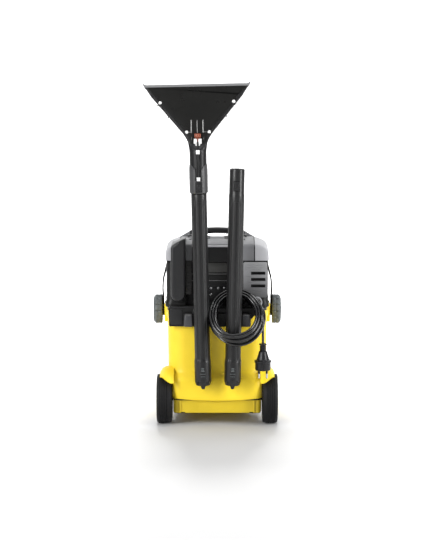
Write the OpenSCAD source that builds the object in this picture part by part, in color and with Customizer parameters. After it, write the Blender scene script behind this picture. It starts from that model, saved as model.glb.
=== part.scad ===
// Spray-extraction spot cleaner: wheeled dirty-water tub, lift-off motor head,
// carrying bail, two parked suction tubes, floor nozzle and coiled mains cord.
// Rear of the machine faces -Y, +Z is up, floor at z = 0. Millimetres.

/* [Tub] */
// Outside width of the tub at its rim
tub_w = 246; // [240:1:248]
// Height of the tub's rim above the floor
rim_z = 281; // [279:1:283]
// Wall thickness of the tub
tub_wall = 4; // [3:0.5:5]

/* [Wheels] */
// Radius of the two rear wheels
wheel_r = 61; // [58:0.5:61]
// Width of a rear wheel
wheel_w = 38; // [30:1:38]
// Radius of a front castor wheel
castor_r = 22; // [20:1:23]

/* [Suction tubes] */
// Length of one suction tube
tube_len = 527; // [500:1:532]
// Outside radius of a suction tube
tube_r = 18.8; // [18.2:0.1:18.9]
// Angle by which each parked tube leans outwards
tube_tilt = 1.2; // [1:0.1:1.4]

/* [Nozzle] */
// Half width of the floor nozzle's lip
noz_hw = 128; // [124:1:130]
// Angle between the nozzle's fan and the tube
noz_lean = 12; // [8:1:14]

/* [Cord] */
// Diameter of the mains cord
cord_d = 6.3; // [6:0.1:6.6]
// Lean of the cord's coil away from vertical
coil_lean = 38; // [37.8:0.1:38.4]

/* [Bail] */
// Radius of the ribbed side knobs
knob_r = 37; // [32:0.5:38]
// Height of the bail's pivot axis above the floor
pivot_z = 261; // [260:0.5:262]

/* [Hidden] */
$fn = 64;
eps = 0.01;
wheel_y = -140;
wheel_x = 130;
castor_x = 52;
castor_y = 118;
trail = 16;
pivot_y = 10;
tube_x = 34;
tube_y = -208;
tube_z = 108;
spigot_r = 17.5;
fan_z = 568;
coil_c = [48, -210, 278];
coil_in = 46.5;
coil_out = 66;
coil_straight = 12;
coil_ax = 26;
yellow = "#f3e23a";
grey = "#9a9b9f";
dark = "#3c3d40";
black = "#222326";
// route of the short lead from the gland to the coil, and of the drop to the plug
lead_pts = [[96, -163, 303], [96, -167, 302.6], [96, -171, 301], [96, -175, 298]];
drop_pts = [[108.5, -215.5, 284], [110.6, -221.5, 273], [111, -225.4, 262], [111.1, -226, 250], [111, -224.4, 241], [111, -221, 232], [111, -217, 223], [111, -214.2, 214], [111, -213, 205]];

// ---------- shared shapes ----------
module rr(w, l, r) { // rounded rectangle of true arcs
  square([w - 2 * r, l], center = true);
  square([w, l - 2 * r], center = true);
  for (x = [-1, 1], y = [-1, 1]) translate([x * (w / 2 - r), y * (l / 2 - r)]) circle(r);
}
module slab(w, l, r, z0, z1, y = 12) { translate([0, y, z0]) linear_extrude(z1 - z0) rr(w, l, r); }
module xcyl(r, x0, x1) { translate([x0, 0, 0]) rotate([0, 90, 0]) cylinder(r = r, h = x1 - x0); }
module ycyl(r, y0, y1) { translate([0, y0, 0]) rotate([-90, 0, 0]) cylinder(r = r, h = y1 - y0); }
module at_tube(s) { translate([s > 0 ? tube_x + 3 : -tube_x, tube_y, tube_z]) rotate([0, s * tube_tilt, 0]) children(); }
module at_fan() { at_tube(-1) translate([0, 0, fan_z]) rotate([-noz_lean, 0, 0]) children(); }
module at_coil() { translate(coil_c) rotate([-coil_lean, 0, 0]) children(); } // local z runs up the ring, y through it
module box6(x0, x1, y0, y1, z0, z1) { translate([x0, y0, z0]) cube([x1 - x0, y1 - y0, z1 - z0]); }

// ---------- tub ----------
module fender(s) {
  difference() {
    intersection() {
      union() {
        translate([0, wheel_y, wheel_r]) xcyl(71, s > 0 ? 104 : -140, s > 0 ? 140 : -104);
        translate([0, wheel_y, wheel_r]) xcyl(77, s > 0 ? 104 : -130, s > 0 ? 130 : -104);
      }
      box6(-150, 150, -205, -76, 104, 142);
    }
    translate([0, wheel_y, wheel_r]) xcyl(66.5, s > 0 ? 108 : -150, s > 0 ? 150 : -108);
  }
}
module ear(s) { // pocket that takes the head's pivot lug, slotted for the pivot pin
  difference() {
    translate([s * 127.3, pivot_y, 232]) linear_extrude(rim_z - 2 - 232) rr(12.6, 64, 3);
    translate([s * 127.6, pivot_y, 262]) cube([4.8, 56, 80], center = true);
    translate([0, pivot_y, pivot_z]) xcyl(9.2, s > 0 ? 125 : -142, s > 0 ? 142 : -125);
    translate([s * 133, pivot_y, pivot_z + 20]) cube([16, 18.4, 40], center = true);
  }
}
module tank_tub() {
  color(yellow) difference() {
    union() {
      difference() {
        union() {
          slab(224, 366, 22, 68, 125, 3);
          hull() { slab(238, 350, 44, 122, 125, 12); slab(tub_w, 358, 44, rim_z - 3, rim_z, 12); }
          for (s = [-1, 1]) fender(s);
        }
        hull() { slab(206, 330, 30, 72, 74, 8); slab(tub_w - 2 * tub_wall, 350, 40, rim_z, rim_z + 2, 12); }
        for (s = [-1, 1]) translate([0, wheel_y, wheel_r]) xcyl(66, s > 0 ? 109 : -170, s > 0 ? 170 : -109);
      }
      for (s = [-1, 1]) ear(s);
      // sleeve behind the suction port
      translate([-45, 0, 215]) ycyl(25, 176, 191);
    }
    translate([-45, 0, 215]) ycyl(22, 170, 200);
  }
}
module chassis() { // open skirt below the tub, with the axle blocks and castor sockets
  color(yellow) difference() {
    union() {
      difference() {
        union() { slab(213, 352, 10, 30, 64, 4); slab(224, 366, 22, 64, 68, 3); }
        slab(205, 344, 8, 20, 70, 4);
        for (s = [-1, 1]) translate([0, wheel_y, wheel_r]) xcyl(66, s > 0 ? 109 : -170, s > 0 ? 170 : -109);
      }
      for (s = [-1, 1]) {
        translate([s * 94.5, wheel_y, 50]) cube([24, 26, 36], center = true);
        translate([s * castor_x, castor_y, 52]) cylinder(r = 13, h = 16);
      }
      box6(-102, 102, castor_y - 3, castor_y + 3, 58, 68);
    }
    translate([0, wheel_y, wheel_r]) xcyl(5.02, -120, 120);
    for (s = [-1, 1]) translate([s * castor_x, castor_y, 40]) cylinder(r = 5.06, h = 26);
  }
}
module rear_axle() { color("silver") translate([0, wheel_y, wheel_r]) xcyl(5, -143, 143); }
module suction_port() { // push-in socket for the suction hose
  color(black) translate([-45, 0, 215]) difference() {
    union() { ycyl(22, 172, 206); ycyl(27, 191, 197); ycyl(24.5, 201, 206); }
    ycyl(19, 160, 210);
  }
}

// ---------- rear wheels ----------
module tyre(s) {
  color(black) translate([s * wheel_x, wheel_y, wheel_r]) rotate([0, 90, 0]) rotate_extrude()
    polygon([[50, -wheel_w / 2 + 2], [wheel_r - 5, -wheel_w / 2], [wheel_r - 1.5, -wheel_w / 2 + 5], [wheel_r, -wheel_w / 2 + 13],
             [wheel_r, wheel_w / 2 - 13], [wheel_r - 1.5, wheel_w / 2 - 5], [wheel_r - 5, wheel_w / 2], [50, wheel_w / 2 - 2]]);
}
module wheel_hub(s) {
  color(grey) translate([s * wheel_x, wheel_y, wheel_r]) rotate([0, s * 90, 0]) difference() {
    rotate_extrude() polygon([[5.06, -17], [15, -17], [16, -6], [44, -6], [46, -17], [50, -17], [50, 17], [46, 17], [43, 8], [18, 8], [16, 12], [5.06, 12]]);
    for (a = [0:60:300]) rotate([0, 0, a]) translate([31, 0, -20]) cylinder(r = 7.5, h = 40);
  }
}
module hub_cap(s) {
  color(black) translate([s * wheel_x, wheel_y, wheel_r]) rotate([0, s * 90, 0]) rotate_extrude()
    polygon([[0, 14.5], [9, 14.5], [9, 12], [16, 12], [16, 15], [11, 18.5], [0, 19.4]]);
}

// ---------- front castors ----------
module castor_fork(s) {
  color(dark) translate([s * castor_x, castor_y, 0]) {
    translate([0, 0, 48]) cylinder(r = 15, h = 3.6);
    translate([0, 0, 51]) cylinder(r = 5, h = 14);
    difference() {
      union() {
        for (k = [-1, 1]) translate([k * 13, -trail, castor_r]) xcyl(10, -2, 2);
        for (k = [-1, 1]) translate([k * 13 - 2, -trail - 10, castor_r]) cube([4, trail + 18, 30 - castor_r + 19]);
        translate([-15, -trail - 10, 47.5]) cube([30, trail + 18, 3.5]);
      }
      translate([0, -trail, castor_r]) xcyl(3, -20, 20);
    }
  }
}
module castor_pin(s) { color("silver") translate([s * castor_x, castor_y - trail, castor_r]) xcyl(3, -16, 16); }
module castor_wheel(s) {
  color(black) translate([s * castor_x, castor_y - trail, castor_r]) rotate([0, 90, 0]) rotate_extrude()
    polygon([[3.06, -10], [castor_r - 3, -10], [castor_r, -7], [castor_r, 7], [castor_r - 3, 10], [3.06, 10]]);
}

// ---------- head ----------
module head_base() {
  color(dark) difference() {
    union() {
      slab(246, 358, 44, rim_z + 3, rim_z + 15);
      difference() { slab(233, 343, 38, rim_z - 12, rim_z + 4); slab(225, 335, 34, rim_z - 14, rim_z + 6); }
      // apron outside the tub's rear wall
      translate([0, -169, 0]) rotate([90, 0, 0]) linear_extrude(8) polygon([[-118, 247], [74, 247], [80, 262], [94, 276], [98, rim_z + 9], [-118, rim_z + 9]]);
      box6(-118, 74, -177, -166, rim_z + 3, rim_z + 9);
      box6(-118, -30, -177, -166, rim_z + 3, rim_z + 15);
      // pivot lugs
      for (s = [-1, 1]) translate([s * 127.6, pivot_y, 0]) {
        translate([0, 0, pivot_z]) xcyl(14, -1.8, 1.8);
        translate([-1.8, -14, pivot_z]) cube([3.6, 28, rim_z + 15 - pivot_z]);
        translate([s > 0 ? -14 : -1.8, -14, rim_z + 4]) cube([15.8, 28, 11]);
      }
    }
    // chamber above the plate
    slab(236, 348, 39, rim_z + 9, rim_z + 30);
    // intake grid into the motor, over the float cage
    translate([0, -60, 240]) cylinder(r = 15, h = 60);
    // outlet socket of the fresh-water tank
    translate([0, 110, 240]) cylinder(r = 8, h = 60);
    for (s = [-1, 1]) translate([0, pivot_y, pivot_z]) xcyl(8, -140, 140);
    translate([70, 0, rim_z + 9]) ycyl(5, 185, 200);
    translate([96, 0, 303]) ycyl(14.5, -185, -150);
  }
}
module tank_seal() { color(black) difference() { slab(244, 356, 43.5, rim_z, rim_z + 3); slab(233.4, 343.4, 38.2, rim_z - 1, rim_z + 4); } }
module housing_2d(hw, g, rec) { // hw half width behind the bail's arms
  difference() {
    union() {
      translate([0, -81]) rr(2 * hw, 138 - 2 * g, 14 - g);
      translate([0, -8]) rr(2 * (min(hw, 118 - g) - 7), 84 - 2 * g, 12 - g);
    }
    translate([-75 - rec, -170]) square([137 + 2 * rec, 35 + rec]);
  }
}
module motor_housing() {
  color(dark) difference() {
    union() {
      translate([0, 0, rim_z + 15]) linear_extrude(405 - rim_z - 15) housing_2d(125, 0, 0);
      translate([0, 0, rim_z + 9]) linear_extrude(6) intersection() { housing_2d(117.9, 0, 0); translate([0, 12]) rr(235.8, 347.8, 38.9); }
    }
    translate([0, 0, rim_z + 5]) linear_extrude(16) housing_2d(112, 4, 4);
    translate([0, 0, rim_z + 20]) linear_extrude(400 - rim_z - 20) housing_2d(121.5, 3.5, 3.5);
    for (p = hook_pts) translate([p[0], 0, p[1]]) ycyl(1.65, -145, -120);
    // vent slots in the side walls
    for (z = [308:14:378]) translate([0, -95, z]) cube([260, 50, 6], center = true);
    // openings under the switches
    for (s = [-1, 1]) box6(s * 36 - 15, s * 36 + 15, -64, -26, 390, 420);
    // hole for the cable gland
    translate([96, 0, 303]) ycyl(9, -160, -140);
  }
}
module top_cover() {
  color(grey) difference() {
    union() {
      hull() {
        translate([0, -79, 405]) linear_extrude(2) rr(252, 142, 20);
        translate([0, -79, 422]) linear_extrude(2) rr(252, 142, 20);
        translate([0, -79, 433]) linear_extrude(1) rr(244, 142, 20);
        translate([0, -79, 439]) linear_extrude(1) rr(228, 141, 18);
        translate([0, -79, 444]) linear_extrude(1) rr(200, 138, 16);
        translate([0, -66, 449]) linear_extrude(1) rr(178, 96, 14);
      }
    }
    hull() {
      translate([0, -79, 404]) linear_extrude(2) rr(243, 134, 17);
      translate([0, -79, 420]) linear_extrude(2) rr(242, 134, 17);
      translate([0, -79, 433]) linear_extrude(1) rr(220, 130, 14);
      translate([0, -68, 444]) linear_extrude(1) rr(172, 88, 12);
    }
    for (s = [-1, 1]) box6(s * 36 - 14.5, s * 36 + 14.5, -63.5, -26.5, 400, 470);
  }
}
module duct_cover() { // rounded cover down the left of the rear
  color(dark) difference() {
    translate([0, -150, 0]) rotate([90, 0, 0]) linear_extrude(28) {
      translate([-95, 326]) circle(18);
      polygon([[-113, 326], [-77, 326], [-77, 461], [-82, 461.6], [-95, 455], [-109, 446], [-113, 440]]);
    }
    box6(-109.5, -80.5, -174.5, -140, 320, 400);
  }
}
module vent_panel() {
  color(grey) difference() {
    box6(64, 122, -156, -150, rim_z + 16, 402);
    for (z = [343.5, 359.5, 375]) box6(83, 117, -160, -145, z - 3.2, z + 3.2);
    translate([96, 0, 303]) ycyl(9, -160, -140);
  }
}
module suction_motor() {
  color("silver") translate([0, -60, 0]) difference() {
    union() {
      translate([0, 0, 290]) cylinder(r = 64, h = 30);
      translate([0, 0, 320]) cylinder(r = 48, h = 66);
    }
    translate([0, 0, 294]) cylinder(r = 60, h = 22);
    translate([0, 0, 322]) cylinder(r = 44, h = 60);
    translate([0, 0, 283]) cylinder(r = 22, h = 20);
    translate([0, 0, 293]) cylinder(r = 5.05, h = 100);
  }
}
module motor_shaft() { color("silver") translate([0, -60, 297]) cylinder(r = 5, h = 92); }
module fan_impeller() {
  color("silver") translate([0, -60, 0]) difference() {
    union() {
      translate([0, 0, 299]) cylinder(r = 56, h = 1.5);
      translate([0, 0, 311]) cylinder(r = 56, h = 1.5);
      translate([0, 0, 299]) cylinder(r = 10, h = 13);
      for (a = [0:45:315]) rotate([0, 0, a]) translate([8, -1, 299]) cube([46, 2, 13]);
      // armature on the same shaft
      translate([0, 0, 329]) cylinder(r = 32, h = 46);
    }
    translate([0, 0, 270]) cylinder(r = 5, h = 120);
  }
}
module spray_pump() {
  color(black) union() {
    translate([84, -45, 0]) { translate([-18, -22, 290]) cube([36, 44, 34]); translate([0, 0, 324]) cylinder(r = 15, h = 42); }
    translate([84, 0, 307]) ycyl(6, -24, -6);
  }
}
module float_cage() {
  color(black) translate([0, -60, 0]) difference() {
    translate([0, 0, 205]) cylinder(r = 26, h = rim_z + 3 - 205);
    translate([0, 0, 209]) cylinder(r = 22, h = 70);
    for (a = [0:60:150]) rotate([0, 0, a]) translate([-40, -6, 214]) cube([80, 12, 44]);
    translate([0, 0, 200]) cylinder(r = 8, h = 20);
  }
}
module float_ball() { color("white") translate([0, -60, 228]) sphere(r = 18); }
module tube_holder() {
  color(black) difference() {
    union() {
      box6(-82, 82, -188, -177, 248, 280);
      for (s = [-1, 1]) translate([s * 70, 0, 0]) box6(-11, 11, -202, -180, 250, 279);
    }
    box6(-30, 2, -200, -170, 262, 290);
    for (s = [-1, 1]) at_tube(s) {
      translate([0, 0, 92]) cylinder(r = tube_r + 0.6, h = 120);
      translate([-6.5, 10, 143]) cube([13, 21.2, 60]);
    }
  }
}
module cable_hook() { // plate on the recessed rear wall with an upturned, curved arm
  color(black) difference() {
    union() {
      box6(-24, 61, -140, -135, 304, 344);
      box6(35, 61, -166, -135, 302, 306.5);
      box6(35, 61, -141, -135, 302, 312);
      at_coil() rotate([90, 0, 0]) translate([0, 0, -20]) linear_extrude(26) intersection() {
        translate([0, coil_straight / 2]) difference() { circle(coil_in - 0.7); circle(coil_in - 6.5); }
        translate([-19, 30]) square([38, 40]);
      }
    }
    for (p = hook_pts) translate([p[0], 0, p[1]]) ycyl(1.6, -145, -130);
    box6(20, 80, -180, -120, 270, 296.2);
  }
}
hook_pts = [[-15, 336], [2.5, 336], [17, 336], [-15, 320], [17, 320]];
module hook_screws() {
  color("silver") for (p = hook_pts) translate([p[0], 0, p[1]]) { ycyl(1.6, -141, -128); ycyl(3.2, -142.2, -140); }
}
module cable_gland() { // boss and tapered strain relief
  color(black) translate([96, 0, 303]) difference() {
    union() {
      ycyl(13.5, -159, -156);
      ycyl(9, -156, -146);
      translate([0, -166, 0]) rotate([-90, 0, 0]) cylinder(r1 = 5.4, r2 = 8, h = 8);
    }
    ycyl(cord_d / 2, -180, -140);
  }
}

// ---------- mains cord ----------
function vsub(a, b) = a - b;
function unit(v) = v / norm(v);
function tangent(p, i) = unit(i == 0 ? p[1] - p[0] : i == len(p) - 1 ? p[i] - p[i - 1] : p[i + 1] - p[i - 1]);
module swept(p, r, n = 10) {
  ring = [for (i = [0:len(p) - 1]) let (t = tangent(p, i), u = unit(cross(t, [1, 0, 0])), v = cross(t, u))
          for (k = [0:n - 1]) p[i] + r * (cos(k * 360 / n) * u + sin(k * 360 / n) * v)];
  m = len(p);
  faces = concat([[for (k = [0:n - 1]) k]],
    [for (i = [0:m - 2], k = [0:n - 1]) [i * n + k, (i + 1) * n + k, (i + 1) * n + (k + 1) % n, i * n + (k + 1) % n]],
    [[for (k = [n - 1:-1:0]) (m - 1) * n + k]]);
  polyhedron(points = ring, faces = faces, convexity = 4);
}
module stadium(r, s) { square([2 * r, s], center = true); for (k = [-1, 1]) translate([0, k * s / 2]) circle(r); }
module power_cord_coil() {
  color(black) at_coil() rotate([90, 0, 0]) translate([0, 0, -coil_ax / 2]) linear_extrude(coil_ax)
    difference() { stadium(coil_out, coil_straight); stadium(coil_in, coil_straight); }
}
module power_cord_lead() { color(black) swept(lead_pts, cord_d / 2); }
module power_cord_drop() { color(black) swept(drop_pts, cord_d / 2); }
module plug_body() {
  color(black) translate([111, -213, 0]) union() {
    rotate_extrude() polygon([[0, 211], [9, 211], [9.5, 208.5], [7, 207], [7, 195.5], [9.5, 192.5], [13, 181], [16.6, 171.6], [20.8, 169.6], [20.8, 166], [19, 164], [19, 147.5], [17.5, 146], [0, 146]]);
  }
}
module plug_pins() { color("silver") for (s = [-1, 1]) translate([111 + s * 9.5, -213, 127.4]) { cylinder(r = 2.4, h = 18.6); sphere(r = 2.4); } }

// ---------- pivots, bail and knobs ----------
module pivot_pins() { color("silver") translate([0, pivot_y, pivot_z]) for (s = [-1, 1]) xcyl(8, s > 0 ? 125.8 : -154, s > 0 ? 154 : -125.8); }
bail_out = [[0, 468], [40, 465], [63, 459], [78, 451], [92, 444], [106, 437], [117, 426], [124, 410], [127, 390], [130, 374], [134, 358], [138, 340], [139.6, 320], [139.6, 301], [138.4, 299], [138.4, 261]];
bail_in = [[134.3, 261], [134.3, 296], [135.4, 304], [135.6, 320], [134, 338], [130, 354], [126.4, 370], [123, 386], [119, 404], [111, 412], [102, 422], [93.5, 430.6], [84, 433.4], [72, 438], [60, 445], [40, 451.5], [0, 454]];
module bail_half() { polygon(concat(bail_out, bail_in)); }
module handle_bail() {
  color(black) difference() {
    union() {
      translate([0, pivot_y + 10, 0]) rotate([90, 0, 0]) linear_extrude(20) { bail_half(); mirror([1, 0]) bail_half(); }
      intersection() {
        translate([0, pivot_y + 13, 0]) rotate([90, 0, 0]) linear_extrude(26) { bail_half(); mirror([1, 0]) bail_half(); }
        box6(-96, 96, -20, 40, 430, 470);
      }
      for (s = [-1, 1]) translate([0, pivot_y, pivot_z]) xcyl(17, s > 0 ? 134.3 : -138.4, s > 0 ? 138.4 : -134.3);
    }
    translate([0, pivot_y, pivot_z]) xcyl(8.06, -150, 150);
  }
}
module knob(s) {
  color(grey) translate([0, pivot_y, pivot_z]) rotate([0, s * 90, 0]) difference() {
    union() {
      rotate_extrude() polygon([[8.06, 138.4], [knob_r - 2, 138.4], [knob_r, 140.4], [knob_r, 156], [knob_r - 5, 161.6], [0, 161.6], [0, 155], [8.06, 155]]);
    }
    for (a = [0:15:345]) rotate([0, 0, a]) translate([knob_r + 1.2, 0, 136]) cylinder(r = 2.4, h = 30, $fn = 16);
  }
}

// ---------- switches ----------
module switch_bezel() {
  color(black) for (s = [-1, 1]) difference() {
    union() { box6(s * 36 - 18, s * 36 + 18, -67, -23, 450, 451.6); box6(s * 36 - 14.5, s * 36 + 14.5, -63.5, -26.5, 434, 451); }
    box6(s * 36 - 12, s * 36 + 12, -61, -29, 430, 470);
    translate([s * 36, -45, 445]) xcyl(2, -14, 14);
  }
}
module rocker(x) {
  color("#b03020") translate([x, -45, 0]) union() {
    translate([-11, 0, 445]) rotate([90, 0, 90]) linear_extrude(22) polygon([[-14, 4], [0, 6.6], [14, 8.6], [14, 4], [9, -6], [-9, -6]]);
    translate([0, 0, 445]) xcyl(1.95, -14, 14);
  }
}
module suction_switch() { rocker(-36); }
module spray_switch() { rocker(36); }
module spray_coupling() { // quick-coupling nipple of the spray hose
  color("silver") translate([70, 0, rim_z + 9]) union() { ycyl(5, 186, 203); ycyl(7, 191, 194); }
}

// ---------- fresh-water tank ----------
module fresh_tank() {
  color("#5b5d61") difference() {
    union() {
      intersection() {
        translate([0, 108, rim_z + 9.3]) linear_extrude(392 - rim_z - 9.3) rr(170, 136, 22);
        translate([0, pivot_y, pivot_z]) xcyl(168, -100, 100);
      }
      translate([0, 110, 284]) cylinder(r = 7.6, h = 12);
      translate([0, 96, 370]) cylinder(r = 30, h = 28);
    }
    intersection() {
      translate([0, 108, 295]) linear_extrude(93) rr(163, 129, 19);
      translate([0, pivot_y, pivot_z]) xcyl(164, -92, 92);
    }
    translate([0, 96, 366]) cylinder(r = 24, h = 60);
    translate([0, 110, 280]) cylinder(r = 4.5, h = 30);
  }
}
module filler_cap() {
  color(black) translate([0, 96, 0]) difference() {
    union() { translate([0, 0, 398.3]) cylinder(r = 31, h = 8); translate([0, 0, 388]) cylinder(r = 23.9, h = 11); }
    translate([0, 0, 380]) cylinder(r = 20, h = 18);
    for (a = [0:30:330]) rotate([0, 0, a]) translate([32.5, 0, 390]) cylinder(r = 3, h = 30, $fn = 24);
  }
}

// ---------- suction tubes ----------
module tube_body(s) {
  color(dark) at_tube(s) difference() {
    union() {
      rotate_extrude() polygon([[13, 2], [17, 0.5], [19.2, 10], [19.2, 62], [tube_r, 68], [tube_r, tube_len - 60], [spigot_r, tube_len - 59], [spigot_r, tube_len], [14, tube_len], [14, 2]]);
      // parking cleat
      translate([-6, 15.5, 144]) cube([12, 12, 22]);
    }
    translate([0, 0, -5]) cylinder(r = 17.6, h = 53);
    translate([0, 0, 40]) cylinder(r = 15.8, h = tube_len);
    if (s > 0) translate([-8, -30, tube_len - 52]) cube([16, 20, 24]);
  }
}
module line_cover(s) { // raised spine that holds the spray line
  color(black) at_tube(s) difference() {
    union() {
      translate([-6, -21, 14]) cube([12, 6, tube_len - 90]);
      translate([-4, -21.5, 14]) cube([8, 3, tube_len - 90]);
      translate([0, -19.2, -1]) cylinder(r = 2.4, h = 22);
    }
    translate([0, 0, -5]) cylinder(r = 19.2, h = 73.05);
    translate([0, 0, 68]) cylinder(r = tube_r, h = tube_len);
  }
}
module suction_tube_left() { tube_body(-1); }
module suction_tube_right() { tube_body(1); }
module spray_line_left() { line_cover(-1); }
module spray_line_right() { line_cover(1); }
module tube_latch() {
  color(grey) at_tube(1) translate([0, 0, tube_len - 51]) intersection() {
    translate([-7, -18, 0]) cube([14, 4, 22]);
    translate([0, 0, -5]) difference() { cylinder(r = spigot_r - 0.1, h = 40); translate([0, 0, -1]) cylinder(r = 14.6, h = 42); }
  }
}

// ---------- floor nozzle, carried upside down on the left tube ----------
fan_pts = [[22, 0], [22, 14], [26, 26], [36, 40], [48, 52], [113, 128], [119, 134], [129, 156]];
module fan_outline(g = 0) { polygon([for (p = fan_pts) [max(p[0] - g, 2), p[1] + (p[1] < 1 ? 0 : 0)], for (i = [len(fan_pts) - 1:-1:0]) [-max(fan_pts[i][0] - g, 2), fan_pts[i][1]]]); }
module fan_slab(g, y0, y1) { at_fan() translate([0, y1, 0]) rotate([90, 0, 0]) linear_extrude(y1 - y0) fan_outline(g); }
module nozzle_body() {
  color(black) difference() {
    union() {
      difference() { fan_slab(0, -7, 11); fan_slab(3.5, -8, 8); }
      at_tube(-1) translate([0, 0, tube_len + 4]) cylinder(r = 20, h = fan_z - tube_len + 6);
      at_fan() translate([0, 0, -4]) cylinder(r = 20, h = 14);
      at_tube(-1) translate([0, 0, tube_len - 59]) cylinder(r = 20.4, h = 63);
      for (p = screw_pts) at_fan() translate([p[0], 0, p[1]]) ycyl(5, -7, 9);
    }
    at_tube(-1) translate([0, 0, tube_len - 70]) cylinder(r = 17.58, h = 70.5);
    at_tube(-1) translate([0, 0, tube_len]) cylinder(r = 15, h = fan_z - tube_len + 8);
    at_fan() translate([0, 0, -8]) cylinder(r = 15, h = 18.02);
    at_fan() box6(-15, 15, -7.5, 8, 4, 20);
    for (p = screw_pts) at_fan() translate([p[0], 0, p[1]]) ycyl(1.8, -20, 7);
    at_tube(-1) translate([-7.5, -30, tube_len - 55]) cube([15, 20, 26]);
    at_fan() box6(-6, 6, -30, -6, 30, 44);
  }
}
screw_pts = [[-88, 118], [88, 118], [-26, 46], [28, 46]];
module nozzle_cover() {
  color("#2d2e30") difference() {
    union() { fan_slab(1.5, -10, -7); }
    at_fan() box6(-10, 10, -30, 0, 14, 46);
    at_fan() box6(-140, 140, -30, 0, -5, 12);
    for (p = screw_pts) at_fan() translate([p[0], 0, p[1]]) ycyl(1.8, -20, 0);
  }
}
module nozzle_lip() {
  color(grey) at_fan() difference() {
    box6(-noz_hw, noz_hw, -11, 12, 156, 164);
    box6(-noz_hw + 6, noz_hw - 6, -7, 8, 150, 170);
  }
}
module nozzle_screws() { color("silver") for (p = screw_pts) at_fan() translate([p[0], 0, p[1]]) { ycyl(1.8, -10.5, 4); ycyl(3.6, -12, -10); } }
module spray_jet() { color("#c07038") at_fan() union() { box6(-7.5, 7.5, -16, -6, 32, 42); translate([0, 0, 37]) ycyl(3, -20, -15); box6(-5, 5, -9, -4, 22, 33); } }
module jet_clips() { color("white") at_fan() for (s = [-1, 1]) translate([s * 5.5, 0, 0]) box6(-4, 4, -14, -9, 16, 30); }
module nozzle_coupling() { // grey plates each side of the coupling, with a latch frame
  color(grey) at_tube(-1) difference() {
    union() {
      translate([0, 0, tube_len - 57]) cylinder(r = 22.4, h = 68);
      translate([-10, -24.8, tube_len - 57]) cube([20, 8, 30]);
    }
    translate([0, 0, tube_len - 61]) cylinder(r = 20.4, h = 80);
    translate([-6, -30, tube_len - 27]) cube([12, 20, 45]);
    translate([-7.5, -30, tube_len - 55]) cube([15, 20, 26]);
  }
}
module nozzle_latch() { color(black) at_tube(-1) union() { translate([-7, -23.8, tube_len - 54]) cube([14, 3.4, 24]); translate([-4, -25.4, tube_len - 47]) cube([8, 3, 10]); } }

module tyre_left() { tyre(-1); }
module tyre_right() { tyre(1); }
module wheel_hub_left() { wheel_hub(-1); }
module wheel_hub_right() { wheel_hub(1); }
module hub_cap_left() { hub_cap(-1); }
module hub_cap_right() { hub_cap(1); }
module castor_fork_left() { castor_fork(-1); }
module castor_fork_right() { castor_fork(1); }
module castor_pin_left() { castor_pin(-1); }
module castor_pin_right() { castor_pin(1); }
module castor_wheel_left() { castor_wheel(-1); }
module castor_wheel_right() { castor_wheel(1); }
module knob_left() { knob(-1); }
module knob_right() { knob(1); }

tank_tub();
chassis();
rear_axle();
suction_port();
tyre_left();
wheel_hub_left();
hub_cap_left();
tyre_right();
wheel_hub_right();
hub_cap_right();
castor_fork_left();
castor_pin_left();
castor_wheel_left();
castor_fork_right();
castor_pin_right();
castor_wheel_right();
head_base();
tank_seal();
motor_housing();
top_cover();
duct_cover();
vent_panel();
suction_motor();
spray_pump();
float_cage();
tube_holder();
cable_hook();
hook_screws();
cable_gland();
power_cord_coil();
power_cord_lead();
power_cord_drop();
plug_body();
plug_pins();
pivot_pins();
switch_bezel();
spray_coupling();
fan_impeller();
motor_shaft();
float_ball();
fresh_tank();
filler_cap();
handle_bail();
knob_left();
knob_right();
suction_switch();
spray_switch();
suction_tube_left();
spray_line_left();
nozzle_body();
nozzle_cover();
nozzle_lip();
nozzle_screws();
spray_jet();
jet_clips();
nozzle_coupling();
nozzle_latch();
suction_tube_right();
spray_line_right();
tube_latch();
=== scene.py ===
import bpy, bmesh, math
from mathutils import Vector, Matrix, Euler

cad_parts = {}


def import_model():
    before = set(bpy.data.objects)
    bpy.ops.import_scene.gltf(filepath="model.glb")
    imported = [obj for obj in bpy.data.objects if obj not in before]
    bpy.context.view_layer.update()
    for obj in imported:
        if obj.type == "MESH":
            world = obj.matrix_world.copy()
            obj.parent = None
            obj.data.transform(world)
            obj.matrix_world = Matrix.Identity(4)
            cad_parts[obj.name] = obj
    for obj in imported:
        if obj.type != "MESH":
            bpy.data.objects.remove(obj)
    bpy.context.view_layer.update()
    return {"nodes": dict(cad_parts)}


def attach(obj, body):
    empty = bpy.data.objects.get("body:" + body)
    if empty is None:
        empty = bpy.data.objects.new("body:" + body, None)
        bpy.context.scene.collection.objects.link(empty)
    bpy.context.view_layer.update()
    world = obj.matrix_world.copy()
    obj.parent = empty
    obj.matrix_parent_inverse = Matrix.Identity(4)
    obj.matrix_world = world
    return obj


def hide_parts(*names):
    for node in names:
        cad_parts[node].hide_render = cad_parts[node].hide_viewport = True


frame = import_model()
sc = bpy.context.scene
D2R = math.pi / 180
TILT = 1.2 * D2R

# ------------------------------------------------------------------ materials
def _sock(node, *names):
    for n in names:
        if n in node.inputs:
            return node.inputs[n]
    return None

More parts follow.
